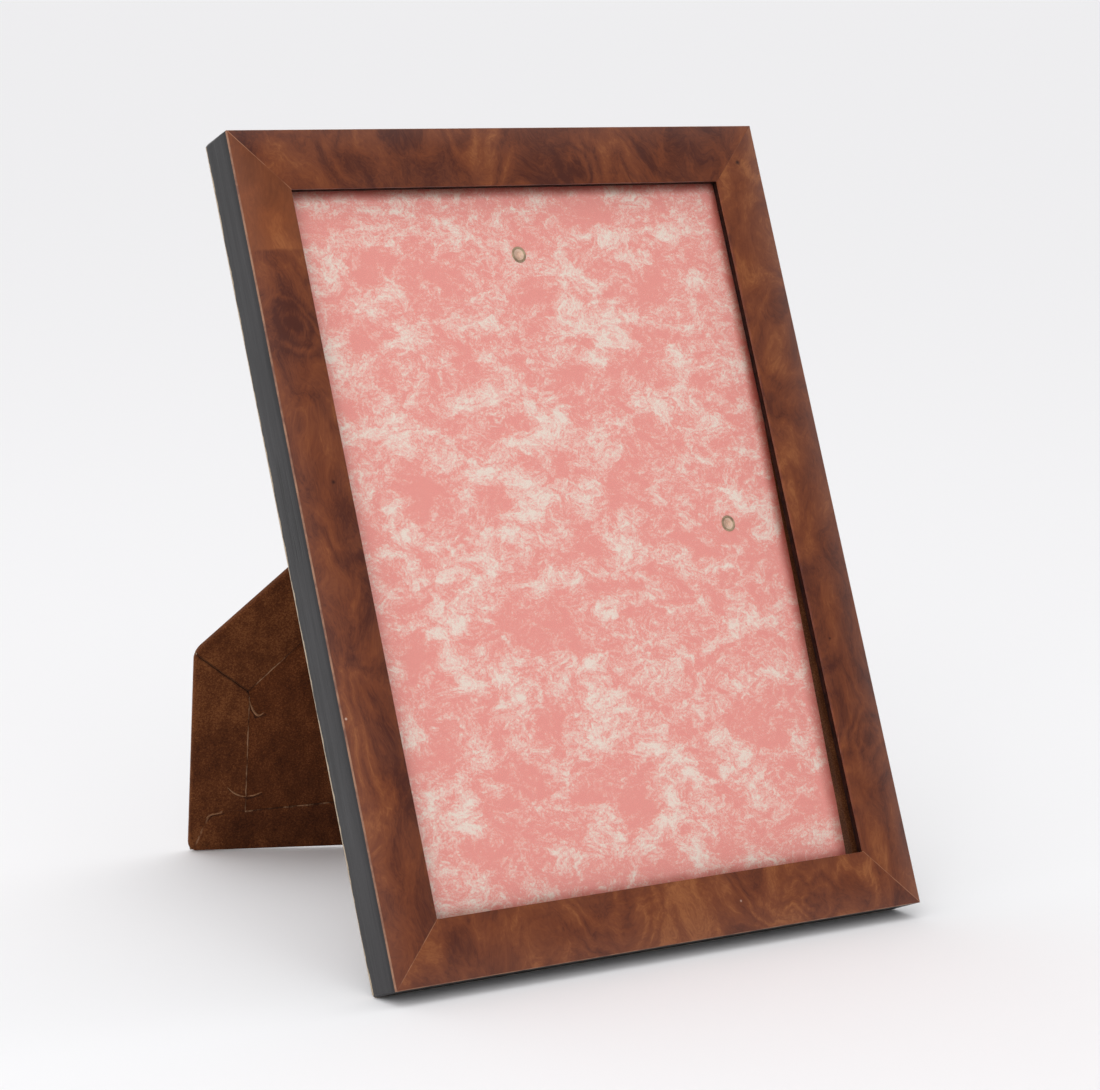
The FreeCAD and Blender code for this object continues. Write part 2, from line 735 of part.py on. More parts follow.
def lowest_strut_point(angle):
    """Height above the floor of the strut's foot, with its corner rounded, when opened."""
    tip, side = strut_outline()[0], strut_outline()[1]
    radius = size("corner_round")
    inner = size("strut_lift")
    outer = inner + size("turn_in") + size("strut_board") + size("strut_velvet")
    place = leaning().multiply(strut_turn(angle))
    points = [side]
    for step in range(91):
        turn = math.radians(step)
        points.append((tip[0] + radius * (1 - math.cos(turn)), tip[1] + radius * (1 - math.sin(turn))))
    return min(place.multVec(Vector(x, y, z)).z for x, z in points for y in (inner, outer))


def floor_height():
    """The leaning moulding rests on its rounded back edge, a little above the sharp corner."""
    lean = math.radians(size("lean"))
    return size("arris") * (math.sin(lean) + math.cos(lean) - 1)


def opening_angle():
    """The strut's opening at which its square corner just meets the floor."""
    low, high = 30.0, 60.0
    for _ in range(50):
        middle = (low + high) / 2
        if lowest_strut_point(middle) > floor_height():
            high = middle
        else:
            low = middle
    return middle


def build():
    """All the sub-parts, each with its place in the frame's own axes."""
    opening = opening_angle()
    opened = strut_turn(opening)
    pieces = []
    for side in SIDES:
        kind = "rail_" if side in ("top", "bottom") else "stile_"
        pieces.append((member(side, kind + side), Placement()))
        pieces.append((veneer(side, "veneer_" + side), Placement()))
    for make in (corner_v_nails, glass_pane, back_board, back_cover, back_lining, button_screws):
        pieces.append((make(), Placement()))
    for name, x, z, turn in BUTTONS:
        pieces.append((turn_button(name), at(x, 0, z, (0, 1, 0), turn)))
    for side, place, turn, swing in (("top", TOP_RIVET, 0.0, size("lean")),
                                     ("side", SIDE_RIVET, 90.0, 90.0)):
        there = at(place[0], 0, place[1], (0, 1, 0), turn)
        pieces.append((tubular_rivet("hanging_rivet_" + side, place), Placement()))
        pieces.append((hanging_tab("hanging_tab_" + side), there))
        pieces.append((hanging_ring("hanging_ring_" + side, swing), there))
    for make in (hinge_leaf_fixed, hinge_pin, hinge_rivets_back):
        pieces.append((make(), on_pin()))
    pieces.append((hinge_leaf_moving(opening), opened.multiply(on_pin())))
    pieces.append((hinge_rivets_strut(), opened.multiply(on_pin())))
    for make in (strut_board, strut_cover, strut_lining):
        pieces.append((make(), opened))
    return pieces, opening


def place_on_floor(pieces):
    """Lean everything back, and centre its box on the origin."""
    box = FreeCAD.BoundBox()
    for piece, own in pieces:
        piece.Placement = leaning().multiply(own).multiply(piece.Placement)
    doc.recompute()
    for piece, _ in pieces:
        box.add(piece.Shape.optimalBoundingBox(False))
    shift = Placement(Vector(-box.Center.x, -box.Center.y, -floor_height()), Rotation())
    for piece, _ in pieces:
        piece.Placement = shift.multiply(piece.Placement)
    doc.recompute()
    return shift, box


def check_and_export(pieces):
    for item in doc.Objects:
        if "Invalid" in item.State or "Error" in item.State:
            raise RuntimeError(item.Name + " failed: " + ", ".join(item.State))
    for piece, _ in pieces:
        if piece.Shape.isNull() or not piece.Shape.isValid():
            raise RuntimeError(piece.Label + " has no valid shape")
    os.makedirs("parts", exist_ok=True)
    for piece, _ in pieces:
        piece.Shape.exportStep("parts/%s.step" % piece.Label)


def report_joints(shift, opening):
    """Joint centres and axes in the finished model, in metres, for the record."""
    world = shift.multiply(leaning())

    def show(name, point, axis):
        p = world.multVec(point) * 0.001
        a = world.Rotation.multVec(axis)
        print("%s pos %.6f %.6f %.6f axis %.6f %.6f %.6f" % (name, p.x, p.y, p.z, a.x, a.y, a.z))

    print("opening %.4f" % opening)
    pin = on_pin()
    show("strut_fold", pin.multVec(Vector(0, size("pin_height"), 0)),
         pin.Rotation.multVec(Vector(1, 0, 0)))
    for name, x, z, _ in BUTTONS:
        show(name, Vector(x, 0, z), Vector(0, 1, 0))
    loop = ring_loop_height()
    show("ring_top", Vector(TOP_RIVET[0], loop, TOP_RIVET[1] + RING_DISTANCE), Vector(1, 0, 0))
    show("ring_side", Vector(SIDE_RIVET[0] + RING_DISTANCE, loop, SIDE_RIVET[1]), Vector(0, 0, -1))
    half, depth = size("width") / 2, size("depth")
    show("bottom_face", Vector(0, -depth / 2, 0), Vector(0, 0, -1))
    show("left_face", Vector(-half, -depth / 2, size("height") / 2), Vector(-1, 0, 0))
    show("back_face", Vector(0, 0, 5), Vector(0, 1, 0))


parts, strut_opening = build()
floor_shift, whole = place_on_floor(parts)
check_and_export(parts)
report_joints(floor_shift, strut_opening)
print("box %.2f %.2f %.2f, lowest %.4f above the floor"
      % (whole.XLength, whole.YLength, whole.ZLength, whole.ZMin - floor_height()))
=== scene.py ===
"""Looks for a standing picture frame.

A mitred moulding faced with burl veneer holds a glass pane over marbled paper. The back and its
folding strut are covered in velvet, and small brass fittings hold everything together.

Pieces are drawn in the frame's own axes, in millimetres: X to the right, Y towards the back, Z up
the moulding, with the moulding's back face on Y = 0 and its bottom face on Z = 0. A stance then
leans them back, and opens the strut, to where the loaded parts stand.
"""

import json
import logging
import math
from collections.abc import Callable, Iterator, Sequence
from contextlib import contextmanager
from dataclasses import dataclass, field
from enum import Enum

import bmesh
import bpy
from mathutils import Matrix, Vector

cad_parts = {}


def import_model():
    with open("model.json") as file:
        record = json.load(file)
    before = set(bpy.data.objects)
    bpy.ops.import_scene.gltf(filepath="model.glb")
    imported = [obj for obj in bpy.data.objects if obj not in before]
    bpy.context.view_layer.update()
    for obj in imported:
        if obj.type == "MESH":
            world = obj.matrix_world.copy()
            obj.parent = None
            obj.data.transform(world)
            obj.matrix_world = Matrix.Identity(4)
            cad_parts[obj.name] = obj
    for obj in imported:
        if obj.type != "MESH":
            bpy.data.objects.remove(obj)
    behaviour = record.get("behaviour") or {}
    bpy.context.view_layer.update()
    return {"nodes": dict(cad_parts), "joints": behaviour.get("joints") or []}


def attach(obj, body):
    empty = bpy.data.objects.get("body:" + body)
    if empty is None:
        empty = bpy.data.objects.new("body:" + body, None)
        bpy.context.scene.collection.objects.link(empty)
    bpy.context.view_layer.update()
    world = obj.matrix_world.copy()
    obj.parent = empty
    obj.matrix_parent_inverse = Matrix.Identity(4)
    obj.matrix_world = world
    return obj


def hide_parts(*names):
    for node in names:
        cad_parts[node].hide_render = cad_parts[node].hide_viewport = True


log = logging.getLogger("picture_frame")

MM = 0.001
BOTTOM_SCREW = (45.0, 7.2)  # X and Z of the bottom turn button's screw
STRUT_OPENING = math.radians(46.9451)
SMOOTH_ANGLE = math.radians(38)
NEAR = 0.01  # two places closer than this are the same place

Point = tuple[float, float]
Triple = tuple[float, float, float]
Colour = tuple[float, float, float]


class Slot(Enum):
    """Material slots that the record names."""

    WOOD = "stained_wood"
    VENEER = "burl_veneer"
    GLASS = "glass"
    BOARD = "board"
    VELVET = "velvet"
    PAPER = "marbled_paper"
    BRASS = "brass"
    STEEL = "steel"


class Side(Enum):
    """The four members of the moulding."""

    TOP = "top"
    BOTTOM = "bottom"
    LEFT = "left"
    RIGHT = "right"


# ------------------------------------------------------------------------------ where it stands


@dataclass(frozen=True)
class Stance:
    """How the frame leans and how far its strut is open."""

    lean: float
    origin: Vector
    pin: Vector
    pin_axis: Vector
    opening: float

    @classmethod
    def from_joints(cls, joints: Sequence[dict]) -> "Stance":
        """Read the stance from the loaded joints.

        Args:
            joints: the joints that the loaded frame lists.

        Returns:
            The stance of the loaded parts.
        """
        found = {joint["name"]: joint for joint in joints}
        button, strut = found["button_bottom_turn"], found["strut_fold"]
        _, back, up = button["axis"]
        lean = math.atan2(-up, back)
        screw = Vector((BOTTOM_SCREW[0], 0.0, BOTTOM_SCREW[1])) * MM
        origin = Vector(button["pos_m"]) - Matrix.Rotation(-lean, 3, "X") @ screw
        return cls(lean, origin, Vector(strut["pos_m"]), Vector(strut["axis"]), STRUT_OPENING)

    def frame(self) -> Matrix:
        """From the frame's own axes to the finished model."""
        return Matrix.Translation(self.origin) @ Matrix.Rotation(-self.lean, 4, "X")

    def strut(self) -> Matrix:
        """The same for pieces drawn on the strut while it lies folded on the back."""
        turn = Matrix.Rotation(self.opening, 4, self.pin_axis)
        return Matrix.Translation(self.pin) @ turn @ Matrix.Translation(-self.pin) @ self.frame()


# ------------------------------------------------------------------------------ modelling tools


class Bench:
    """Blender's modelling tools, with sizes in millimetres and the selecting done in code."""

    @staticmethod
    def clear() -> None:
        """Leave nothing selected, in object mode."""
        if bpy.context.mode != "OBJECT":
            bpy.ops.object.mode_set(mode="OBJECT")
        bpy.ops.object.select_all(action="DESELECT")

    @staticmethod
    def only(piece: bpy.types.Object) -> None:
        """Select one object and make it active.

        Args:
            piece: the object.
        """
        Bench.clear()
        piece.select_set(True)
        bpy.context.view_layer.objects.active = piece

    @staticmethod
    @contextmanager
    def editing(piece: bpy.types.Object, mode: str = "FACE") -> Iterator[None]:
        """Edit mode on one object, with nothing selected at the start.

        Args:
            piece: the object to edit.
            mode: VERT, EDGE or FACE.
        """
        Bench.only(piece)
        bpy.ops.object.mode_set(mode="EDIT")
        bpy.ops.mesh.select_mode(type=mode)
        bpy.ops.mesh.select_all(action="DESELECT")
        yield
        bpy.ops.object.mode_set(mode="OBJECT")

    @staticmethod
    def pick_faces(piece: bpy.types.Object, test: Callable[[Vector, Vector], bool]) -> None:
        """Select the faces whose middle, in millimetres, and normal pass a test.

        Args:
            piece: the object in edit mode.
            test: takes the middle and the normal.
        """
        mesh = bmesh.from_edit_mesh(piece.data)
        chosen = [f for f in mesh.faces if test(f.calc_center_median() / MM, f.normal)]
        Bench._select(piece, chosen)

    @staticmethod
    def pick_edges(piece: bpy.types.Object, test: Callable[[Vector, Vector], bool]) -> None:
        """Select the edges whose two ends, in millimetres, pass a test.

        Args:
            piece: the object in edit mode.
            test: takes the two ends.
        """
        mesh = bmesh.from_edit_mesh(piece.data)
        chosen = [e for e in mesh.edges if test(e.verts[0].co / MM, e.verts[1].co / MM)]
        Bench._select(piece, chosen)

    @staticmethod
    def pick_corners(piece: bpy.types.Object, test: Callable[[Vector], bool]) -> None:
        """Select the vertices whose place, in millimetres, passes a test.

        Args:
            piece: the object in edit mode.
            test: takes the place.
        """
        mesh = bmesh.from_edit_mesh(piece.data)
        Bench._select(piece, [v for v in mesh.verts if test(v.co / MM)])

    @staticmethod
    def _select(piece: bpy.types.Object, chosen: list) -> None:
        """Select what was chosen, and stop if it is nothing.

        Args:
            piece: the object in edit mode.
            chosen: its corners, edges or faces.
        """
        if not chosen:
            raise ValueError(f"nothing was picked on {piece.name}")
        for element in chosen:
            element.select_set(True)
        bmesh.update_edit_mesh(piece.data)

    @staticmethod
    def settle(piece: bpy.types.Object, place: Matrix | None = None) -> bpy.types.Object:
        """Bake an object's place into its mesh.

        Args:
            piece: the object.
            place: a further place to bake, after its own.

        Returns:
            The same object, at the origin.
        """
        if place is not None:
            piece.matrix_world = place @ piece.matrix_world
        Bench.only(piece)
        bpy.ops.object.transform_apply(location=True, rotation=True, scale=True)
        return piece

    @staticmethod
    def named(name: str) -> bpy.types.Object:
        """Name the object just added, and bake its place."""
        bpy.context.object.name = name
        return Bench.settle(bpy.context.object)

    @staticmethod
    def block(name: str, low: Triple, high: Triple) -> bpy.types.Object:
        """A block between two corners.

        Args:
            name: the object's name.
            low: its lowest corner.
            high: its highest corner.

        Returns:
            The block.
        """
        middle = [(a + b) / 2 * MM for a, b in zip(low, high)]
        lengths = [(b - a) * MM for a, b in zip(low, high)]
        Bench.clear()
        bpy.ops.mesh.primitive_cube_add(size=1, location=middle, scale=lengths)
        return Bench.named(name)

    @staticmethod
    def drum(name: str, centre: Point, radius: float, front: float, back: float,
             sides: int = 48) -> bpy.types.Object:
        """A round bar from front to back.

        Args:
            name: the object's name.
            centre: its X and Z.
            radius: its radius.
            front: Y of its front end.
            back: Y of its back end.
            sides: number of flat sides.

        Returns:
            The bar.
        """
        Bench.clear()
        bpy.ops.mesh.primitive_cylinder_add(
            vertices=sides, radius=radius * MM, depth=(back - front) * MM,
            location=(centre[0] * MM, (front + back) / 2 * MM, centre[1] * MM),
            rotation=(math.radians(90), 0, 0))
        return Bench.named(name)

    @staticmethod
    def outline(name: str, corners: Sequence[Point], y: float) -> bpy.types.Object:
        """A flat face seen from the front, whose corners are moved into place one by one.

        Args:
            name: the object's name.
            corners: X and Z of each corner.
            y: its Y.

        Returns:
            The face.
        """
        Bench.clear()
        bpy.ops.mesh.primitive_circle_add(vertices=len(corners), radius=10 * MM, fill_type="NGON",
                                          rotation=(math.radians(90), 0, 0))
        piece = Bench.named(name)
        with Bench.editing(piece, "VERT"):
            for number, (x, z) in enumerate(corners):
                bpy.ops.mesh.select_all(action="DESELECT")
                mesh = bmesh.from_edit_mesh(piece.data)
                mesh.verts.ensure_lookup_table()
                corner = mesh.verts[number]
                shift = Vector((x, y, z)) * MM - corner.co
                corner.select_set(True)
                bmesh.update_edit_mesh(piece.data)
                bpy.ops.transform.translate(value=shift)
        return piece

    @staticmethod
    def plate(name: str, corners: Sequence[Point], front: float, back: float,
              rounded: dict[Point, float] | None = None) -> bpy.types.Object:
        """A flat plate seen from the front, with some of its corners rounded.

        Args:
            name: the object's name.
            corners: its outline.
            front: Y of its front face.
            back: Y of its back face.
            rounded: radius at each corner that is rounded.

        Returns:
            The plate.
        """
        piece = Bench.outline(name, corners, front)
        for (x, z), radius in (rounded or {}).items():
            with Bench.editing(piece, "VERT"):
                Bench.pick_corners(piece, lambda p: math.hypot(p.x - x, p.z - z) < NEAR)
                bpy.ops.mesh.bevel(offset=radius * MM, segments=8, affect="VERTICES")
        Bench.thicken(piece, back - front)
        return piece

    @staticmethod
    def thicken(piece: bpy.types.Object, depth: float) -> None:
        """Extrude a whole flat piece along Y, and face its normals outward.

        Args:
            piece: the flat piece.
            depth: how far, towards the back.
        """
        with Bench.editing(piece, "FACE"):
            bpy.ops.mesh.select_all(action="SELECT")
            Bench.extrude((0, depth, 0))
            bpy.ops.mesh.select_all(action="SELECT")
            bpy.ops.mesh.normals_make_consistent(inside=False)

    @staticmethod
    def extrude(shift: Triple) -> None:
        """Extrude what is selected by a shift in millimetres."""
        bpy.ops.mesh.extrude_region_move(
            TRANSFORM_OT_translate={"value": [s * MM for s in shift]})

    @staticmethod
    def trim(piece: bpy.types.Object, through: Triple, normal: Triple) -> None:
        """Saw off what lies beyond a plane, and close the cut.

        Args:
            piece: the object to cut.
            through: a point on the plane.
            normal: points to the waste.
        """
        with Bench.editing(piece, "FACE"):
            bpy.ops.mesh.select_all(action="SELECT")
            bpy.ops.mesh.bisect(plane_co=[t * MM for t in through], plane_no=normal,
                                use_fill=True, clear_outer=True, clear_inner=False)

    @staticmethod
    def bevel(piece: bpy.types.Object, test: Callable[[Vector, Vector], bool], width: float,
              segments: int = 3) -> None:
        """Round the edges whose two ends pass a test.

        Args:
            piece: the piece.
            test: takes the two ends of an edge.
            width: width of the rounding.
            segments: its number of steps.
        """
        with Bench.editing(piece, "EDGE"):
            Bench.pick_edges(piece, test)
            bpy.ops.mesh.bevel(offset=width * MM, segments=segments, affect="EDGES")

    @staticmethod
    def modify(piece: bpy.types.Object, kind: str, **settings: object) -> None:
        """Add a modifier and apply it.

        Args:
            piece: the object.
            kind: Blender's name for the modifier's type.
            **settings: the modifier's settings.
        """
        Bench.only(piece)
        modifier = piece.modifiers.new(kind.lower(), kind)
        for key, value in settings.items():
            setattr(modifier, key, value)
        bpy.ops.object.modifier_apply(modifier=modifier.name)

    @staticmethod
    def cut(piece: bpy.types.Object, cutter: bpy.types.Object) -> None:
        """Take a cutter's shape out of a piece, and put the cutter away."""
        Bench.modify(piece, "BOOLEAN", operation="DIFFERENCE", object=cutter, solver="EXACT")
        bpy.data.objects.remove(cutter)

    @staticmethod
    def soften(piece: bpy.types.Object, width: float, segments: int = 2,
               angle: float = 40.0) -> None:
        """Round every sharp edge a little."""
        Bench.modify(piece, "BEVEL", width=width * MM, segments=segments, limit_method="ANGLE",
                     angle_limit=math.radians(angle), harden_normals=False)

    @staticmethod
    def other_finish(piece: bpy.types.Object, test: Callable[[Vector, Vector], bool],
                     number: int = 1) -> None:
        """Give the faces that pass a test another of the piece's materials.

        Args:
            piece: the piece.
            test: takes a face's middle, in millimetres, and its normal.
            number: which material, counted from 0.
        """
        while len(piece.data.materials) <= number:
            piece.data.materials.append(None)
        with Bench.editing(piece, "FACE"):
            Bench.pick_faces(piece, test)
            piece.active_material_index = number
            bpy.ops.object.material_slot_assign()

    @staticmethod
    def join(pieces: Sequence[bpy.types.Object], name: str = "") -> bpy.types.Object:
        """Join several objects into the first one, under its own name or a new one.

        Args:
            pieces: the objects.
            name: the new name, if any.

        Returns:
            The first object, which now holds them all.
        """
        Bench.only(pieces[0])
        for piece in pieces[1:]:
            piece.select_set(True)
        bpy.ops.object.join()
        pieces[0].name = name or pieces[0].name
        return pieces[0]

    @staticmethod
    def copy(piece: bpy.types.Object, name: str, place: Matrix) -> bpy.types.Object:
        """A copy with its own mesh, moved by a place in the frame's own axes.

        Args:
            piece: the object to copy.
            name: the copy's name.
            place: where it goes.

        Returns:
            The copy.
        """
        twin = piece.copy()
        twin.data = piece.data.copy()
        twin.name = name
        bpy.context.scene.collection.objects.link(twin)
        return Bench.settle(twin, place)

    @staticmethod
    def welt(name: str, points: Sequence[Triple], radius: float) -> bpy.types.Object:
        """A soft raised ridge that tapers away at both ends.

        Args:
            name: the object's name.
            points: where it runs.
            radius: half its thickness in the middle.

        Returns:
            The ridge, as a mesh.
        """
        Bench.clear()
        bpy.ops.curve.primitive_nurbs_path_add()
        ridge = bpy.context.object
        ridge.name = name
        spline = ridge.data.splines[0]
        spline.points.add(max(0, len(points) - len(spline.points)))
        count = len(spline.points)
        for number, node in enumerate(spline.points):
            share = number / (count - 1) * (len(points) - 1)
            start = min(int(share), len(points) - 2)
            place = Vector(points[start]).lerp(Vector(points[start + 1]), share - start)
            node.co = (*(place * MM), 1.0)
            node.radius = 0.15 + 0.85 * math.sin(math.pi * number / (count - 1))
        spline.order_u = 3
        spline.use_endpoint_u = True
        ridge.data.bevel_depth = radius * MM
        ridge.data.bevel_resolution = 3
        ridge.data.use_fill_caps = True
        Bench.only(ridge)
        bpy.ops.object.convert(target="MESH")
        return Bench.settle(bpy.context.object)


def turned(x: float, z: float, degrees: float) -> Matrix:
    """A place in the frame's own axes: a turn about Y, then a shift, in millimetres."""
    return Matrix.Translation((x * MM, 0, z * MM)) @ Matrix.Rotation(math.radians(degrees), 4, "Y")


def hand_over(piece: bpy.types.Object, place: Matrix, body: str,
              materials: Sequence[bpy.types.Material], replaces: Sequence[str] = ()) -> None:
    """Put a finished piece in its place, dress it, and hide the loaded nodes that it stands for.

    Args:
        piece: the piece, in the frame's own axes.
        place: from those axes to the finished model.
        body: the body that it moves with.
        materials: its materials, in the order of its faces' slots.
        replaces: the loaded nodes that it stands for.
    """
    Bench.settle(piece, place)
    for number, material in enumerate(materials):
        if number == len(piece.data.materials):
            piece.data.materials.append(material)
        piece.data.materials[number] = material
    Bench.only(piece)
    bpy.ops.object.shade_smooth_by_angle(angle=SMOOTH_ANGLE)
    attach(piece, body)
    if replaces:
        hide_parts(*replaces)
    log.info("%s: %d faces, on %s", piece.name, len(piece.data.polygons), body)


# ------------------------------------------------------------------------------ shader tools

Value = bpy.types.NodeSocket | float | Sequence[float]


class Wiring:
    """Adds nodes to a shader tree and joins them."""

    def __init__(self, tree: bpy.types.NodeTree) -> None:
        """Work on one tree."""
        self.tree = tree

    def node(self, kind: str, **settings: object) -> bpy.types.Node:
        """Add a node and set its options.

        Args:
            kind: Blender's name for the node's type.
            **settings: its options.

        Returns:
            The node.
        """
        made = self.tree.nodes.new(kind)
        for key, value in settings.items():
            setattr(made, key, value)
        return made

    def feed(self, socket: bpy.types.NodeSocket, value: Value) -> None:
        """Join a socket to another one, or set its value.

        Args:
            socket: the socket to fill.
            value: a socket, or a plain value.
        """
        if isinstance(value, bpy.types.NodeSocket):
            self.tree.links.new(value, socket)
        else:
            socket.default_value = value

    def math(self, operation: str, *values: Value, clamp: bool = False) -> bpy.types.NodeSocket:
        """A Math node's result.

        Args:
            operation: Blender's name for it.
            *values: what goes in.
            clamp: keep the result in 0 to 1.

        Returns:
            The result's socket.
        """
        made = self.node("ShaderNodeMath", operation=operation, use_clamp=clamp)
        for socket, value in zip(made.inputs, values):
            self.feed(socket, value)
        return made.outputs[0]

    def vector(self, operation: str, *values: Value,
               scale: Value | None = None) -> bpy.types.NodeSocket:
        """A Vector Math node's result.

        Args:
            operation: Blender's name for it.
            *values: what goes in.
            scale: the factor of a SCALE.

        Returns:
            The result's socket.
        """
        made = self.node("ShaderNodeVectorMath", operation=operation)
        for socket, value in zip(made.inputs, values):
            self.feed(socket, value)
        if scale is not None:
            self.feed(made.inputs["Scale"], scale)
        single = operation in ("DOT_PRODUCT", "LENGTH", "DISTANCE")
        return made.outputs["Value" if single else "Vector"]

    def split(self, value: Value) -> tuple[bpy.types.NodeSocket, ...]:
        """The three parts of a vector.

        Args:
            value: the vector.

        Returns:
            A socket for each of X, Y and Z.
        """
        made = self.node("ShaderNodeSeparateXYZ")
        self.feed(made.inputs[0], value)
        return tuple(made.outputs)

    def noise(self, place: Value, scale: Value, detail: float = 4.0, roughness: float = 0.5,
              distortion: float = 0.0, kind: str = "FBM",
              colour: bool = False) -> bpy.types.NodeSocket:
        """A Noise Texture's value, or its colour.

        Args:
            place: where on the surface.
            scale: how fine it is, in waves a metre.
            detail: number of finer layers.
            roughness: weight of the finer layers.
            distortion: how far it is bent.
            kind: Blender's name for the noise.
            colour: take the colour, not the value.

        Returns:
            The result's socket.
        """
        made = self.node("ShaderNodeTexNoise", noise_type=kind, normalize=True)
        self.feed(made.inputs["Vector"], place)
        self.feed(made.inputs["Scale"], scale)
        made.inputs["Detail"].default_value = detail
        made.inputs["Roughness"].default_value = roughness
        made.inputs["Distortion"].default_value = distortion
        return made.outputs["Color" if colour else "Fac"]

    def smooth(self, value: Value, low: Value, high: Value, start: float = 0.0,
               end: float = 1.0) -> bpy.types.NodeSocket:
        """A smooth step from one value to another.

        Args:
            value: what to measure.
            low: where the step begins.
            high: where it is complete.
            start: the result at low.
            end: the result at high.

        Returns:
            The result's socket.
        """
        made = self.node("ShaderNodeMapRange", interpolation_type="SMOOTHSTEP")
        for socket, given in zip(made.inputs[:5], (value, low, high, start, end)):
            self.feed(socket, given)
        return made.outputs[0]

    def ramp(self, value: Value, stops: Sequence[tuple[float, Colour]]) -> bpy.types.NodeSocket:
        """A colour ramp.

        Args:
            value: what to measure.
            stops: a colour at each place from 0 to 1.

        Returns:
            The result's socket.
        """
        made = self.node("ShaderNodeValToRGB")
        elements = made.color_ramp.elements
        while len(elements) < len(stops):
            elements.new(1.0)
        for element, (place, colour) in zip(elements, stops):
            element.position = place
            element.color = (*colour, 1.0)
        self.feed(made.inputs[0], value)
        return made.outputs[0]

    def mix(self, share: Value, first: Value, second: Value,
            blend: str = "MIX") -> bpy.types.NodeSocket:
        """Two colours mixed.

        Args:
            share: how much of the second, 0 to 1.
            first: the first colour.
            second: the second colour.
            blend: Blender's name for the blend.

        Returns:
            The result's socket.
        """
        made = self.node("ShaderNodeMix", data_type="RGBA", blend_type=blend)
        for name, value in (("Factor_Float", share), ("A_Color", first), ("B_Color", second)):
            if isinstance(value, tuple) and len(value) == 3:
                value = (*value, 1.0)
            socket = next(s for s in made.inputs if s.identifier == name)
            self.feed(socket, value)
        return next(s for s in made.outputs if s.identifier == "Result_Color")

    def bump(self, height: Value, distance: float, strength: float = 1.0) -> bpy.types.NodeSocket:
        """A normal bent by a height.

        Args:
            height: the height.
            distance: what a height of 1 stands for, in metres.
            strength: how much of it shows.

        Returns:
            The bent normal.
        """
        made = self.node("ShaderNodeBump")
        self.feed(made.inputs["Height"], height)
        made.inputs["Distance"].default_value = distance
        made.inputs["Strength"].default_value = strength
        return made.outputs[0]

    def remap(self, place: Value, shift: Triple, degrees: float,
              scale: Triple) -> bpy.types.NodeSocket:
        """A place stretched, turned about Y and shifted by a Mapping node.

        Args:
            place: where on the surface.
            shift: the shift in metres.
            degrees: the turn.
            scale: the stretch.

        Returns:
            The new place.
        """
        made = self.node("ShaderNodeMapping", vector_type="POINT")
        made.inputs["Location"].default_value = shift
        made.inputs["Rotation"].default_value = (0.0, math.radians(degrees), 0.0)
        made.inputs["Scale"].default_value = scale
        self.feed(made.inputs["Vector"], place)
        return made.outputs["Vector"]

    def weigh(self, tone: Value, *parts: tuple[Value, float]) -> bpy.types.NodeSocket:
        """Add parts to a tone, each centred on a half and times its share.

        Args:
            tone: the tone to start from.
            *parts: each part and its share.

        Returns:
            The result's socket.
        """
        for part, share in parts:
            centred = self.math("SUBTRACT", part, 0.5)
            tone = self.math("ADD", tone, self.math("MULTIPLY", centred, share))
        return tone

    def edge_gaps(self, x: Value, z: Value, half: Point) -> tuple[bpy.types.NodeSocket, ...]:
        """How far a place lies inside the moulding's long sides, and inside its ends.

        Args:
            x: the place's X.
            z: the place's Z.
            half: half the moulding's width and height.

        Returns:
            The gap to the nearer side, and the gap to the nearer end.
        """
        centred = self.math("SUBTRACT", z, half[1] * MM)
        return tuple(self.math("SUBTRACT", reach * MM, self.math("ABSOLUTE", part))
                     for part, reach in ((x, half[0]), (centred, half[1])))

    def group(self, tree: bpy.types.NodeTree, **values: Value) -> bpy.types.Node:
        """Place a shared group and set its inputs, whose names have underscores for spaces.

        Args:
            tree: the group.
            **values: its inputs.

        Returns:
            The group's node.
        """
        made = self.node("ShaderNodeGroup")
        made.node_tree = tree
        for name, value in values.items():
            self.feed(made.inputs[name.replace("_", " ")], value)
        return made


def linear(red: float, green: float, blue: float) -> Colour:
    """A colour as painters' tables give it, 0 to 255, turned into light values.

    Args:
        red: its red.
        green: its green.
        blue: its blue.

    Returns:
        The colour in light values.
    """
    def one(value: float) -> float:
        """One part of the colour."""
        share = value / 255
        return share / 12.92 if share <= 0.04045 else ((share + 0.055) / 1.055) ** 2.4
    return one(red), one(green), one(blue)


SOCKETS = {"value": "NodeSocketFloat", "colour": "NodeSocketColor", "vector": "NodeSocketVector"}


def new_group(name: str, inputs: dict[str, str],
              outputs: dict[str, str]) -> tuple[Wiring, dict, bpy.types.Node]:
    """Start a shared shader group.

    Args:
        name: the group's name.
        inputs: kind of each input, by name.
        outputs: kind of each output, by name.

    Returns:
        The group's wiring, its inputs' sockets by name, and its output node.
    """
    tree = bpy.data.node_groups.new(name, "ShaderNodeTree")
    for label, kind in inputs.items():
        tree.interface.new_socket(label, in_out="INPUT", socket_type=SOCKETS[kind])
    for label, kind in outputs.items():
        tree.interface.new_socket(label, in_out="OUTPUT", socket_type=SOCKETS[kind])
    wires = Wiring(tree)
    given, result = wires.node("NodeGroupInput"), wires.node("NodeGroupOutput")
    return wires, {label: given.outputs[label] for label in inputs}, result


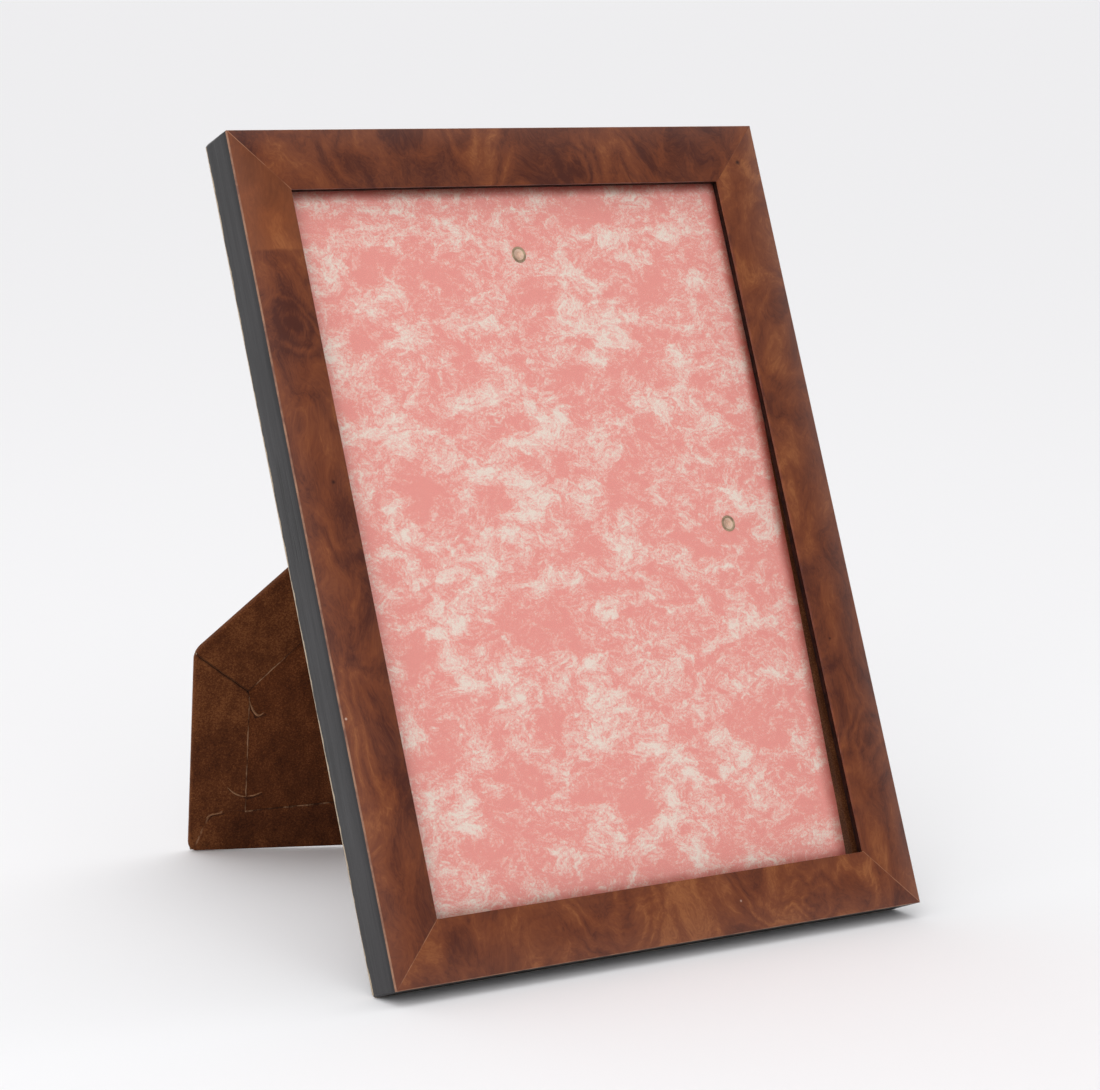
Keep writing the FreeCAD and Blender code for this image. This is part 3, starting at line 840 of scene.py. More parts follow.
class SharedEffects:
    """Shader groups that more than one finish uses, each built once."""

    def __init__(self) -> None:
        """Build every group."""
        self.line = self._line()
        self.spot = self._spot()
        self.streaks = self._streaks()
        self.warp = self._warp()
        self.specks = self._specks()

    @staticmethod
    def _line() -> bpy.types.NodeTree:
        """A soft line between two points, all in metres.

        Returns:
            The group.
        """
        wires, given, result = new_group(
            "Line mark", {"Place": "vector", "Start": "vector", "End": "vector", "Width": "value"},
            {"Mask": "value"})
        run = wires.vector("SUBTRACT", given["End"], given["Start"])
        away = wires.vector("SUBTRACT", given["Place"], given["Start"])
        share = wires.math("DIVIDE", wires.vector("DOT_PRODUCT", away, run),
                           wires.vector("DOT_PRODUCT", run, run), clamp=True)
        near = wires.vector("SCALE", run, scale=share)
        distance = wires.vector("DISTANCE", away, near)
        wires.feed(result.inputs["Mask"], wires.smooth(distance, 0.0, given["Width"], 1.0, 0.0))
        return wires.tree

    @staticmethod
    def _spot() -> bpy.types.NodeTree:
        """A soft round spot with an uneven rim.

        Returns:
            The group.
        """
        wires, given, result = new_group(
            "Spot mark", {"Place": "vector", "Centre": "vector", "Radius": "value"},
            {"Mask": "value"})
        uneven = wires.noise(given["Place"], 900.0, 3.0)
        distance = wires.math("MULTIPLY", wires.vector("DISTANCE", given["Place"], given["Centre"]),
                              wires.math("ADD", uneven, 0.5))
        wires.feed(result.inputs["Mask"], wires.smooth(distance, 0.0, given["Radius"], 1.0, 0.0))
        return wires.tree

    @staticmethod
    def _streaks() -> bpy.types.NodeTree:
        """Fine long streaks, from a place already stretched along the grain.

        Returns:
            The group.
        """
        wires, given, result = new_group(
            "Fibre streaks", {"Place": "vector", "Coarse": "value", "Fine": "value"},
            {"Broad": "value", "Thin": "value"})
        wires.feed(result.inputs["Broad"], wires.noise(given["Place"], given["Coarse"], 4.0, 0.6))
        wires.feed(result.inputs["Thin"], wires.noise(given["Place"], given["Fine"], 5.0, 0.7))
        return wires.tree

    @staticmethod
    def _warp() -> bpy.types.NodeTree:
        """A place pushed about by two sizes of noise.

        Returns:
            The group.
        """
        wires, given, result = new_group(
            "Swirled place", {"Place": "vector", "Scale": "value", "Push": "value"},
            {"Place": "vector"})
        broad = wires.noise(given["Place"], given["Scale"], 2.0, 0.5, colour=True)
        shift = wires.vector("SCALE", wires.vector("SUBTRACT", broad, (0.5, 0.5, 0.5)),
                             scale=given["Push"])
        once = wires.vector("ADD", given["Place"], shift)
        finer = wires.noise(once, wires.math("MULTIPLY", given["Scale"], 3.1), 3.0, 0.6,
                            colour=True)
        nudge = wires.vector("SCALE", wires.vector("SUBTRACT", finer, (0.5, 0.5, 0.5)),
                             scale=wires.math("MULTIPLY", given["Push"], 0.34))
        wires.feed(result.inputs["Place"], wires.vector("ADD", once, nudge))
        return wires.tree

    @staticmethod
    def _specks() -> bpy.types.NodeTree:
        """Sparse tiny specks.

        Returns:
            The group.
        """
        wires, given, result = new_group(
            "Specks", {"Place": "vector", "Scale": "value", "Amount": "value"},
            {"Mask": "value"})
        cells = wires.node("ShaderNodeTexVoronoi", feature="F1")
        wires.feed(cells.inputs["Vector"], given["Place"])
        wires.feed(cells.inputs["Scale"], given["Scale"])
        dot = wires.smooth(cells.outputs["Distance"], 0.0, 0.16, 1.0, 0.0)
        chance = wires.split(cells.outputs["Color"])[0]
        kept = wires.math("LESS_THAN", chance, given["Amount"])
        wires.feed(result.inputs["Mask"], wires.math("MULTIPLY", dot, kept))
        return wires.tree


class Finish:
    """A material with a Principled shader, read in the frame's own axes or the strut's."""

    def __init__(self, name: str, place: Matrix) -> None:
        """Start a material.

        Args:
            name: the material's name.
            place: the stance whose axes the pattern follows.
        """
        self.material = bpy.data.materials.new(name)
        self.material.use_nodes = True
        self.wires = Wiring(self.material.node_tree)
        nodes = self.material.node_tree.nodes
        self.shader = nodes["Principled BSDF"]
        self.output = nodes["Material Output"]
        coordinates = self.wires.node("ShaderNodeTexCoord")
        back = place.inverted()
        mapping = self.wires.node("ShaderNodeMapping", vector_type="POINT")
        mapping.inputs["Location"].default_value = back.to_translation()
        mapping.inputs["Rotation"].default_value = back.to_euler("XYZ")
        self.wires.feed(mapping.inputs["Vector"], coordinates.outputs["Object"])
        self.place = mapping.outputs["Vector"]

    def set(self, **values: Value) -> None:
        """Set or join the shader's sockets, whose names have underscores for spaces.

        Args:
            **values: a socket or a plain value for each.
        """
        for name, value in values.items():
            if isinstance(value, tuple) and len(value) == 3:
                value = (*value, 1.0)
            self.wires.feed(self.shader.inputs[name.replace("_", " ")], value)


# ------------------------------------------------------------------------------ finishes


@dataclass(frozen=True)
class StainedWood:
    """Black-stained wood with fine streaks along its length, rubbed pale on the back arris."""

    upright: bool
    dark: Colour = linear(20, 19, 20)
    light: Colour = linear(42, 40, 42)
    bare: Colour = linear(172, 154, 130)
    gouges: tuple[Triple, Triple] = ((-105, -8.4, 138), (-105, -8.0, 163))

    def make(self, stance: Stance, effects: SharedEffects, half: Point) -> bpy.types.Material:
        """Build the material.

        Args:
            stance: how the frame stands.
            effects: the shared groups.
            half: half the moulding's width and height.

        Returns:
            The material.
        """
        finish = Finish("Stained wood, " + ("stiles" if self.upright else "rails"), stance.frame())
        wires = finish.wires
        stretch = (1.0, 1.0, 0.025) if self.upright else (0.025, 1.0, 1.0)
        along = wires.vector("MULTIPLY", finish.place, stretch)
        streaks = wires.group(effects.streaks, Place=along, Coarse=420.0, Fine=2600.0)
        broad, thin = streaks.outputs["Broad"], streaks.outputs["Thin"]
        cloud = wires.noise(finish.place, 22.0, 3.0)
        tone = wires.math("ADD", wires.math("MULTIPLY", thin, 0.55),
                          wires.math("MULTIPLY", cloud, 0.45))
        base = wires.ramp(tone, [(0.36, self.dark), (0.62, self.light)])
        # Deep short gouges in one patch of the left side.
        start, end = ([c * MM for c in point] for point in self.gouges)
        patch = wires.group(effects.line, Place=finish.place, Start=start, End=end,
                            Width=5.5 * MM).outputs["Mask"]
        stroke = wires.smooth(wires.noise(along, 900.0, 2.0, 0.5), 0.50, 0.60)
        gouge = wires.math("MULTIPLY", patch, stroke)
        base = wires.mix(gouge, base, linear(14, 13, 13))
        worn = self._wear(finish, half)
        base = wires.mix(worn, base, self.bare)
        height = wires.math("SUBTRACT", wires.math("MULTIPLY", thin, 0.6), gouge)
        finish.set(Base_Color=base,
                   Roughness=wires.smooth(broad, 0.3, 0.7, 0.36, 0.52), Specular_IOR_Level=0.42,
                   Normal=wires.bump(height, 0.00012, 0.9))
        return finish.material

    @staticmethod
    def make_sight_edge(stance: Stance) -> bpy.types.Material:
        """Build the dull brown-black stain inside the opening.

        Args:
            stance: how the frame stands.

        Returns:
            The material.
        """
        finish = Finish("Stained sight edge", stance.frame())
        wires = finish.wires
        grain = wires.noise(finish.place, 320.0, 4.0, 0.6)
        finish.set(Base_Color=wires.ramp(grain, [(0.4, linear(30, 12, 9)), (0.6, linear(44, 20, 14))]),
                   Roughness=0.8, Specular_IOR_Level=0.1, Normal=wires.bump(grain, 0.00005, 0.6))
        return finish.material

    @staticmethod
    def _wear(finish: Finish, half: Point) -> bpy.types.NodeSocket:
        """Where the stain is rubbed off the long back arris.

        Args:
            finish: the material so far.
            half: half the moulding's width and height.

        Returns:
            A mask from 0 to 1.
        """
        wires = finish.wires
        x, y, z = wires.split(finish.place)
        from_edge = wires.math("MINIMUM", *wires.edge_gaps(x, z, half))
        rim = wires.math("SUBTRACT", wires.math("MULTIPLY", from_edge, 1.8), y)
        uneven = wires.noise(finish.place, 90.0, 6.0, 0.75)
        reach = wires.math("MULTIPLY", wires.math("SUBTRACT", uneven, 0.04), 2.4 * MM)
        return wires.smooth(wires.math("SUBTRACT", rim, reach), -0.15 * MM, 0.12 * MM, 1.0, 0.0)


@dataclass(frozen=True)
class BurlVeneer:
    """Lacquered reddish burl, with its own figure on each member and a pale line at each mitre."""

    side: Side
    shift: Triple
    turn: float
    warmth: float
    eyes: tuple[tuple[Triple, float], ...] = ()
    knots: tuple[tuple[Triple, float], ...] = ()
    leaf_joint: float | None = None
    tight_from: tuple[Point, Point] = ((50, 60), (200, 210))

    def make(self, stance: Stance, effects: SharedEffects, half: Point) -> bpy.types.Material:
        """Build the face's material.

        Args:
            stance: how the frame stands.
            effects: the shared groups.
            half: half the moulding's width and height.

        Returns:
            The material.
        """
        finish = Finish("Burl veneer, " + self.side.value, stance.frame())
        wires = finish.wires
        base, height = self._figure(wires, effects, finish.place, self.shift)
        if self.leaf_joint is not None:
            other, _ = self._figure(wires, effects, finish.place,
                                    (self.shift[0] + 0.31, self.shift[1], self.shift[2] - 0.17))
            lighter = wires.mix(0.26, other, linear(158, 92, 52))
            ragged = wires.math("MULTIPLY", wires.noise(finish.place, 260.0, 4.0), 1.6 * MM)
            height_up = wires.math("ADD", wires.split(finish.place)[2], ragged)
            above = wires.smooth(height_up, self.leaf_joint * MM, (self.leaf_joint + 1.1) * MM)
            base = wires.mix(above, base, lighter)
        for centre, radius in self.knots:
            knot = wires.group(effects.spot, Place=finish.place,
                               Centre=[c * MM for c in centre], Radius=radius * MM)
            base = wires.mix(knot.outputs["Mask"], base, linear(48, 26, 22))
        base = wires.mix(self._mitre(wires, finish.place, half), base, linear(172, 122, 92))
        specks = wires.group(effects.specks, Place=finish.place, Scale=260.0, Amount=0.012)
        base = wires.mix(specks.outputs["Mask"], base, linear(196, 168, 150))
        dull = wires.noise(finish.place, 70.0, 4.0)
        finish.set(Base_Color=base,
                   Roughness=wires.smooth(dull, 0.3, 0.7, 0.30, 0.42),
                   Specular_IOR_Level=0.30,
                   Normal=wires.bump(height, 0.00003, 0.5))
        return finish.material

    def _figure(self, wires: Wiring, effects: SharedEffects, place: Value,
                shift: Triple) -> tuple[bpy.types.NodeSocket, bpy.types.NodeSocket]:
        """The burl's swirls, clouds, contour lines and short fibres.

        Args:
            wires: the material's wiring.
            effects: the shared groups.
            place: where on the face.
            shift: picks the part of the endless figure.

        Returns:
            The colour and a height.
        """
        start = wires.remap(place, shift, self.turn, (1.0, 1.0, 0.62))
        swirl = wires.group(effects.warp, Place=start, Scale=30.0, Push=0.030).outputs["Place"]
        cloud = wires.noise(swirl, 46.0, 4.0, 0.58)
        rings = wires.noise(swirl, 30.0, 1.0, 0.4)
        bent = wires.group(effects.warp, Place=place, Scale=70.0, Push=0.008).outputs["Place"]
        for centre, radius in self.eyes:
            off = wires.vector("DISTANCE", bent, [c * MM for c in centre])
            near = wires.smooth(off, 0.0, radius * MM, 1.0, 0.0)
            rings = wires.math("ADD", rings, wires.math("MULTIPLY", near, 0.26))
            cloud = wires.math("SUBTRACT", cloud, wires.math("MULTIPLY", near, 0.10))
        contour = wires.math("PINGPONG", wires.math("MULTIPLY", rings, 17.0), 1.0)
        fibre = wires.noise(wires.vector("MULTIPLY", swirl, (1.0, 1.0, 0.14)), 1700.0, 3.0, 0.65)
        hair = wires.noise(swirl, 520.0, 7.0, 0.78)
        tone = wires.weigh(wires.math("MULTIPLY", cloud, 0.86), (contour, 0.16), (fibre, 0.34),
                           (hair, 0.38))
        tone = wires.math("ADD", tone, self.warmth)
        base = wires.ramp(tone, [
            (0.22, linear(78, 40, 31)), (0.34, linear(98, 52, 36)), (0.44, linear(112, 60, 39)),
            (0.54, linear(124, 69, 43)), (0.70, linear(150, 92, 56))])
        return base, wires.math("ADD", fibre, hair)

    def _mitre(self, wires: Wiring, place: Value, half: Point) -> bpy.types.NodeSocket:
        """A thin uneven line of filler along each mitre but the tight one at the top right.

        Args:
            wires: the material's wiring.
            place: where on the surface.
            half: half the moulding's width and height.

        Returns:
            A mask from 0 to 1.
        """
        x, _, z = wires.split(place)
        off = wires.math("ABSOLUTE", wires.math("SUBTRACT", *wires.edge_gaps(x, z, half)))
        line = wires.smooth(off, 0.06 * MM, 0.22 * MM, 1.0, 0.0)
        uneven = wires.smooth(wires.noise(place, 120.0, 3.0), 0.38, 0.62, 0.15, 0.85)
        tight = wires.math("MULTIPLY", *(
            wires.smooth(part, start * MM, end * MM)
            for part, (start, end) in zip((x, z), self.tight_from)))
        shown = wires.math("SUBTRACT", 1.0, wires.math("MULTIPLY", tight, 0.85))
        return wires.math("MULTIPLY", wires.math("MULTIPLY", line, uneven), shown)


@dataclass(frozen=True)
class VeneerEdge:
    """The bare cut edge of the veneer."""

    tan: Colour = linear(150, 108, 82)
    brown: Colour = linear(112, 70, 52)

    def make(self, stance: Stance) -> bpy.types.Material:
        """Build the material.

        Args:
            stance: how the frame stands.

        Returns:
            The material.
        """
        finish = Finish("Veneer edge", stance.frame())
        wires = finish.wires
        patches = wires.noise(finish.place, 180.0, 5.0, 0.7)
        finish.set(Base_Color=wires.ramp(patches, [(0.38, self.brown), (0.58, self.tan)]),
                   Roughness=0.55, Normal=wires.bump(patches, 0.00005))
        return finish.material


@dataclass(frozen=True)
class MarbledPaper:
    """Pink paper with cream feathered clouds, a little darker towards its edges, where shade is
    painted on.
    """

    deep: Colour = linear(247, 158, 149)
    pink: Colour = linear(249, 171, 161)
    pale: Colour = linear(250, 197, 186)
    cream: Colour = linear(250, 227, 215)
    foot: float = 17.4
    right_foot: float = 81.7
    slant: float = 8.3 / 235.2
    lip_shade: Point = (246.6, 251.2)

    def make(self, stance: Stance, effects: SharedEffects, middle: Point,
             half: Point) -> bpy.types.Material:
        """Build the material.

        Args:
            stance: how the frame stands.
            effects: the shared groups.
            middle: X and Z of the paper's middle.
            half: half its width and height.

        Returns:
            The material.
        """
        finish = Finish("Marbled paper", stance.frame())
        wires = finish.wires
        start = wires.remap(finish.place, (0.43, 0.0, 0.18), 28.0, (0.82, 1.0, 1.18))
        swirl = wires.group(effects.warp, Place=start, Scale=80.0, Push=0.013).outputs["Place"]
        cloud = wires.noise(swirl, 76.0, 13.0, 0.78)
        veins = wires.noise(swirl, 110.0, 7.0, 0.7, kind="RIDGED_MULTIFRACTAL")
        feather = wires.noise(swirl, 620.0, 8.0, 0.85)
        grain = wires.noise(finish.place, 1500.0, 4.0, 0.8)
        tone = wires.math("ADD", wires.math("MULTIPLY", cloud, 0.80),
                          wires.math("MULTIPLY", veins, 0.13))
        tone = wires.weigh(tone, (feather, 0.44), (grain, 0.30))
        base = wires.ramp(tone, [(0.355, self.deep), (0.405, self.pink), (0.445, self.pale),
                                 (0.51, self.cream)])
        # Painted shade: the paper is darker beside the moulding, along its slanted right edge, and
        # under the top lip.
        base = wires.mix(self._painted_edge_shade(wires, finish.place, middle, half), base,
                         linear(196, 148, 128), blend="MULTIPLY")
        base = wires.mix(self._painted_slant_shade(wires, finish.place), base, linear(176, 132, 118),
                         blend="MULTIPLY")
        up = wires.split(finish.place)[2]
        low, high = (level * MM for level in self.lip_shade)
        base = wires.mix(wires.smooth(up, low, high, 0.0, 0.75), base, linear(150, 112, 104),
                         blend="MULTIPLY")
        finish.set(Base_Color=base, Roughness=0.62, Specular_IOR_Level=0.25,
                   Normal=wires.bump(grain, 0.00003, 0.6))
        return finish.material

    def _painted_slant_shade(self, wires: Wiring, place: Value) -> bpy.types.NodeSocket:
        """Painted shade along the paper's slanted right edge, where it curls away beside the velvet.

        Args:
            wires: the material's wiring.
            place: where on the surface.

        Returns:
            A mask from 0 to 1.
        """
        x, _, z = wires.split(place)
        slant = wires.math("MULTIPLY", wires.math("SUBTRACT", z, self.foot * MM), self.slant)
        gap = wires.math("SUBTRACT", wires.math("ADD", slant, self.right_foot * MM), x)
        uneven = wires.math("MULTIPLY", wires.noise(place, 120.0, 4.0), 2.0 * MM)
        return wires.smooth(wires.math("ADD", gap, uneven), 0.6 * MM, 6.5 * MM, 0.9, 0.0)

    @staticmethod
    def _painted_edge_shade(wires: Wiring, place: Value, middle: Point, half: Point) -> bpy.types.NodeSocket:
        """Painted shade on the paper beside the moulding, where the lip shades it.

        Args:
            wires: the material's wiring.
            place: where on the surface.
            middle: X and Z of the paper's middle.
            half: half its width and height.

        Returns:
            A mask from 0 to 1.
        """
        x, _, z = wires.split(place)
        gaps = []
        for part, centre, reach in ((x, middle[0], half[0]), (z, middle[1], half[1])):
            away = wires.math("ABSOLUTE", wires.math("SUBTRACT", part, centre * MM))
            gaps.append(wires.math("SUBTRACT", reach * MM, away))
        gap = wires.math("MINIMUM", *gaps)
        uneven = wires.math("MULTIPLY", wires.noise(place, 90.0, 3.0), 4.0 * MM)
        return wires.smooth(wires.math("ADD", gap, uneven), 1.2 * MM, 5.5 * MM, 0.75, 0.0)


@dataclass(frozen=True)
class Velvet:
    """Short brown pile that catches light at a grazing angle, with pale frayed lines along its seams,
    painted shadow in dark lines along its seams and folds, and painted shade towards the strut's foot.
    """

    name: str
    dark: Colour = linear(52, 22, 7)
    mid: Colour = linear(82, 42, 18)
    light: Colour = linear(118, 71, 39)
    frays: tuple[tuple[Point, Point, float], ...] = ()
    # Lines of painted shadow along seams and folds.
    crease_shadows: tuple[tuple[Point, Point, float], ...] = ()
    foot_shade: float = 0.0
    foot_band: Point = (20, 30)
    tip_band: Point = (-88, -76)
    inner_band: Point = (1.3, 1.7)
    wander: float = 1.3

    def make(self, place: Matrix, effects: SharedEffects) -> bpy.types.Material:
        """Build the material.

        Args:
            place: the stance whose axes the seams are given in.
            effects: the shared groups.

        Returns:
            The material.
        """
        finish = Finish(self.name, place)
        wires = finish.wires
        patches = wires.noise(finish.place, 40.0, 4.0, 0.6, 0.6)
        brushed = wires.noise(wires.vector("MULTIPLY", finish.place, (1.0, 1.0, 0.4)), 260.0, 4.0,
                              0.6)
        pile = wires.noise(finish.place, 1700.0, 4.0, 0.8)
        tone = wires.math("MULTIPLY", patches, 0.34)
        for part, share in ((brushed, 0.22), (pile, 0.66)):
            tone = wires.math("ADD", tone, wires.math("MULTIPLY", part, share))
        x, y, z = wires.split(finish.place)
        foot, tip, inner = ([edge * MM for edge in band]
                            for band in (self.foot_band, self.tip_band, self.inner_band))
        # Painted shade: the velvet is darker along the strut's foot, away from its tip.
        painted_foot_shade = wires.math("MULTIPLY", wires.smooth(z, *foot, self.foot_shade, 0.0),
                             wires.smooth(x, *tip))
        tone = wires.math("SUBTRACT", tone, painted_foot_shade)
        base = wires.ramp(tone, [(0.47, self.dark), (0.61, self.mid), (0.76, self.light)])
        height = wires.math("ADD", pile, wires.math("MULTIPLY", brushed, 0.6))
        wander = wires.vector("SUBTRACT", wires.noise(finish.place, 260.0, 3.0, 0.6, colour=True),
                              (0.5, 0.5, 0.5))
        flat = wires.vector("MULTIPLY", wires.vector(
            "ADD", finish.place, wires.vector("SCALE", wander, scale=self.wander * MM)), (1, 0, 1))
        facing = wires.smooth(y, *inner, 1.0, 0.0)
        dark = wires.math("MULTIPLY", facing, 0.7)
        pale = wires.math("MULTIPLY", facing, wires.smooth(brushed, 0.46, 0.62, 0.0, 0.8))
        # Painted shadow: dark brown lines along the seams and folds of the inner face. The pale lines
        # are frayed pile.
        for marks, share, colour in ((self.crease_shadows, dark, linear(26, 10, 4)),
                                     (self.frays, pale, linear(158, 118, 88))):
            for start, end, width in marks:
                mark = wires.group(effects.line, Place=flat, Start=(start[0] * MM, 0, start[1] * MM),
                                   End=(end[0] * MM, 0, end[1] * MM), Width=width * MM)
                base = wires.mix(wires.math("MULTIPLY", mark.outputs["Mask"], share), base, colour)
        finish.set(Base_Color=base, Roughness=0.95, Specular_IOR_Level=0.15,
                   Sheen_Weight=0.22, Sheen_Roughness=0.45, Sheen_Tint=linear(190, 140, 105),
                   Normal=wires.bump(height, 0.00012, 0.8))
        return finish.material


@dataclass(frozen=True)
class Metal:
    """Rolled metal with fine scratches and a dull bloom."""

    name: str
    bright: Colour
    dull: Colour
    roughness: float = 0.34
    metallic: float = 1.0

    def make(self, stance: Stance, effects: SharedEffects) -> bpy.types.Material:
        """Build the material.

        Args:
            stance: how the frame stands.
            effects: the shared groups.

        Returns:
            The material.
        """
        finish = Finish(self.name, stance.frame())
        wires = finish.wires
        bloom = wires.noise(finish.place, 210.0, 6.0, 0.65, 0.5)
        brushed = wires.group(effects.streaks,
                              Place=wires.vector("MULTIPLY", finish.place, (0.08, 1.0, 1.0)),
                              Coarse=1200.0, Fine=5200.0).outputs["Thin"]
        base = wires.ramp(bloom, [(0.36, self.dull), (0.56, self.bright)])
        finish.set(Base_Color=base, Metallic=self.metallic,
                   Roughness=wires.smooth(bloom, 0.35, 0.6, self.roughness + 0.22, self.roughness),
                   Normal=wires.bump(brushed, 0.00002, 0.5))
        return finish.material


@dataclass(frozen=True)
class GreyBoard:
    """Pressed board with flecks of fibre."""

    def make(self, stance: Stance) -> bpy.types.Material:
        """Build the material.

        Args:
            stance: how the frame stands.

        Returns:
            The material.
        """
        finish = Finish("Grey board", stance.frame())
        wires = finish.wires
        fibre = wires.noise(finish.place, 700.0, 5.0, 0.7)
        finish.set(Base_Color=wires.ramp(fibre, [(0.4, linear(122, 108, 88)),
                                                 (0.6, linear(158, 142, 118))]),
                   Roughness=0.9, Normal=wires.bump(fibre, 0.0001))
        return finish.material


@dataclass(frozen=True)
class PaneGlass:
    """Clear old glass with a faint film of dust."""

    def make(self, stance: Stance) -> bpy.types.Material:
        """Build the material: light for the paper passes straight through.

        Args:
            stance: how the frame stands.

        Returns:
            The material.
        """
        finish = Finish("Pane glass", stance.frame())
        wires = finish.wires
        smear = wires.noise(finish.place, 30.0, 4.0, 0.6)
        finish.set(Base_Color=(0.985, 0.995, 0.99), Transmission_Weight=1.0, IOR=1.5,
                   Roughness=wires.smooth(smear, 0.45, 0.75, 0.0, 0.03))
        path = wires.node("ShaderNodeLightPath")
        passing = wires.math("MAXIMUM", path.outputs["Is Shadow Ray"],
                             path.outputs["Is Diffuse Ray"])
        clear = wires.node("ShaderNodeBsdfTransparent")
        clear.inputs["Color"].default_value = (0.97, 0.98, 0.975, 1.0)
        both = wires.node("ShaderNodeMixShader")
        wires.feed(both.inputs[0], passing)
        wires.feed(both.inputs[1], finish.shader.outputs[0])
        wires.feed(both.inputs[2], clear.outputs[0])
        wires.feed(finish.output.inputs["Surface"], both.outputs[0])
        return finish.material


# ------------------------------------------------------------------------------ sub-assemblies


@dataclass
class Moulding:
    """Four mitred lengths of stained wood, each faced with a strip of burl veneer."""

    width: float = 210.0
    height: float = 270.0
    depth: float = 14.0
    breadth: float = 19.5
    wall: float = 14.3
    lip: float = 3.0
    veneer: float = 0.8
    arris: float = 0.8
    corner_rub: float = 1.2

    @property
    def half(self) -> Point:
        """Half the width and half the height."""
        return self.width / 2, self.height / 2

    def place(self, side: Side) -> tuple[float, Matrix]:
        """A member's length, and its place when drawn along X with its outer face on Z = 0.

        Args:
            side: which member.

        Returns:
            The length and the place.
        """
        return {
            Side.BOTTOM: (self.width, turned(0, 0, 0)),
            Side.TOP: (self.width, turned(0, self.height, 180)),
            Side.LEFT: (self.height, turned(-self.width / 2, self.height / 2, 90)),
            Side.RIGHT: (self.height, turned(self.width / 2, self.height / 2, -90)),
        }[side]

    @staticmethod
    def mitre(piece: bpy.types.Object, length: float) -> None:
        """Saw both ends at 45 degrees."""
        for end in (-1, 1):
            Bench.trim(piece, (end * length / 2, 0, 0), (end, 0, 1))

    def make_member(self, side: Side) -> bpy.types.Object:
        """A wall with a lip in front of it, mitred, with its long back arris rounded.

        Args:
            side: which member.

        Returns:
            The member, in the frame's own axes.
        """
        length, place = self.place(side)
        behind_lip, front = -(self.depth - self.lip), -(self.depth - self.veneer)
        piece = Bench.block("moulding_" + side.value, (-length / 2, behind_lip, 0),
                            (length / 2, 0, self.wall))
        with Bench.editing(piece, "FACE"):
            Bench.pick_faces(piece, lambda _, normal: normal.y < -0.9)
            Bench.extrude((0, front - behind_lip, 0))
        with Bench.editing(piece, "FACE"):
            Bench.pick_faces(piece, lambda middle, normal: normal.z > 0.9 and middle.y < behind_lip)
            Bench.extrude((0, 0, self.breadth - self.wall))
        Bench.bevel(piece, lambda a, b: max(abs(a.y), abs(b.y), abs(a.z), abs(b.z)) < NEAR,
                    self.arris, 4)
        Bench.bevel(piece, lambda a, b: min(a.z, b.z) > self.breadth - NEAR
                    and abs(a.x - b.x) > length / 2, 0.2, 2)
        self.mitre(piece, length)
        slope = self.corner_rub / -front
        for end in (-1, 1):
            Bench.trim(piece, (end * length / 2, front, 0), (end, slope, -1))
        Bench.soften(piece, 0.18, 2, 50.0)
        Bench.other_finish(piece, lambda middle, _: middle.z > self.wall + 0.05)
        return Bench.settle(piece, place)

    def make_veneer(self, side: Side) -> bpy.types.Object:
        """A thin mitred strip with its long front edges just broken.

        Args:
            side: which member.

        Returns:
            The strip, in the frame's own axes. Its cut edges use the second material.
        """
        length, place = self.place(side)
        front = -self.depth
        piece = Bench.block("veneer_face_" + side.value, (-length / 2, front, 0),
                            (length / 2, front + self.veneer, self.breadth))
        Bench.bevel(piece, lambda a, b: max(a.y, b.y) < front + NEAR
                    and abs(a.x - b.x) > length / 2, 0.2, 2)
        self.mitre(piece, length)
        Bench.other_finish(piece, lambda middle, normal: abs(normal.y) < 0.97
                           and middle.z < self.breadth / 2)
        return Bench.settle(piece, place)

    def build(self, stance: Stance, effects: SharedEffects) -> None:
        """Make all eight pieces and dress them.

        Args:
            stance: how the frame stands.
            effects: the shared groups.
        """
        flat = -self.depth
        figures = {
            Side.TOP: BurlVeneer(Side.TOP, (0.37, 0.2, 1.31), 62.0, -0.035,
                                 (((28.0, flat, 255.0), 15.0),)),
            Side.BOTTOM: BurlVeneer(Side.BOTTOM, (1.17, 0.5, 0.64), 70.0, 0.05,
                                    (((60.0, flat, 6.0), 13.0),)),
            Side.LEFT: BurlVeneer(Side.LEFT, (2.41, 0.1, 0.27), 8.0, -0.04,
                                  (((-93.0, flat, 206.0), 12.0),),
                                  (((-91.5, flat, 156.5), 1.1),), 231.4),
            Side.RIGHT: BurlVeneer(Side.RIGHT, (0.83, 0.7, 2.05), -12.0, 0.012,
                                   (((99.0, flat, 57.0), 13.0),),
                                   (((96.0, flat, 257.0), 1.3), ((91.0, flat, 91.0), 0.7))),
        }
        wood = {upright: StainedWood(upright).make(stance, effects, self.half)
                for upright in (False, True)}
        sight, edge = StainedWood.make_sight_edge(stance), VeneerEdge().make(stance)
        for side in Side:
            upright = side in (Side.LEFT, Side.RIGHT)
            node = ("stile_" if upright else "rail_") + side.value
            hand_over(self.make_member(side), stance.frame(), "frame",
                      [wood[upright], sight], [node])
            face = figures[side].make(stance, effects, self.half)
            hand_over(self.make_veneer(side), stance.frame(), "frame",
                      [face, edge], ["veneer_" + side.value])


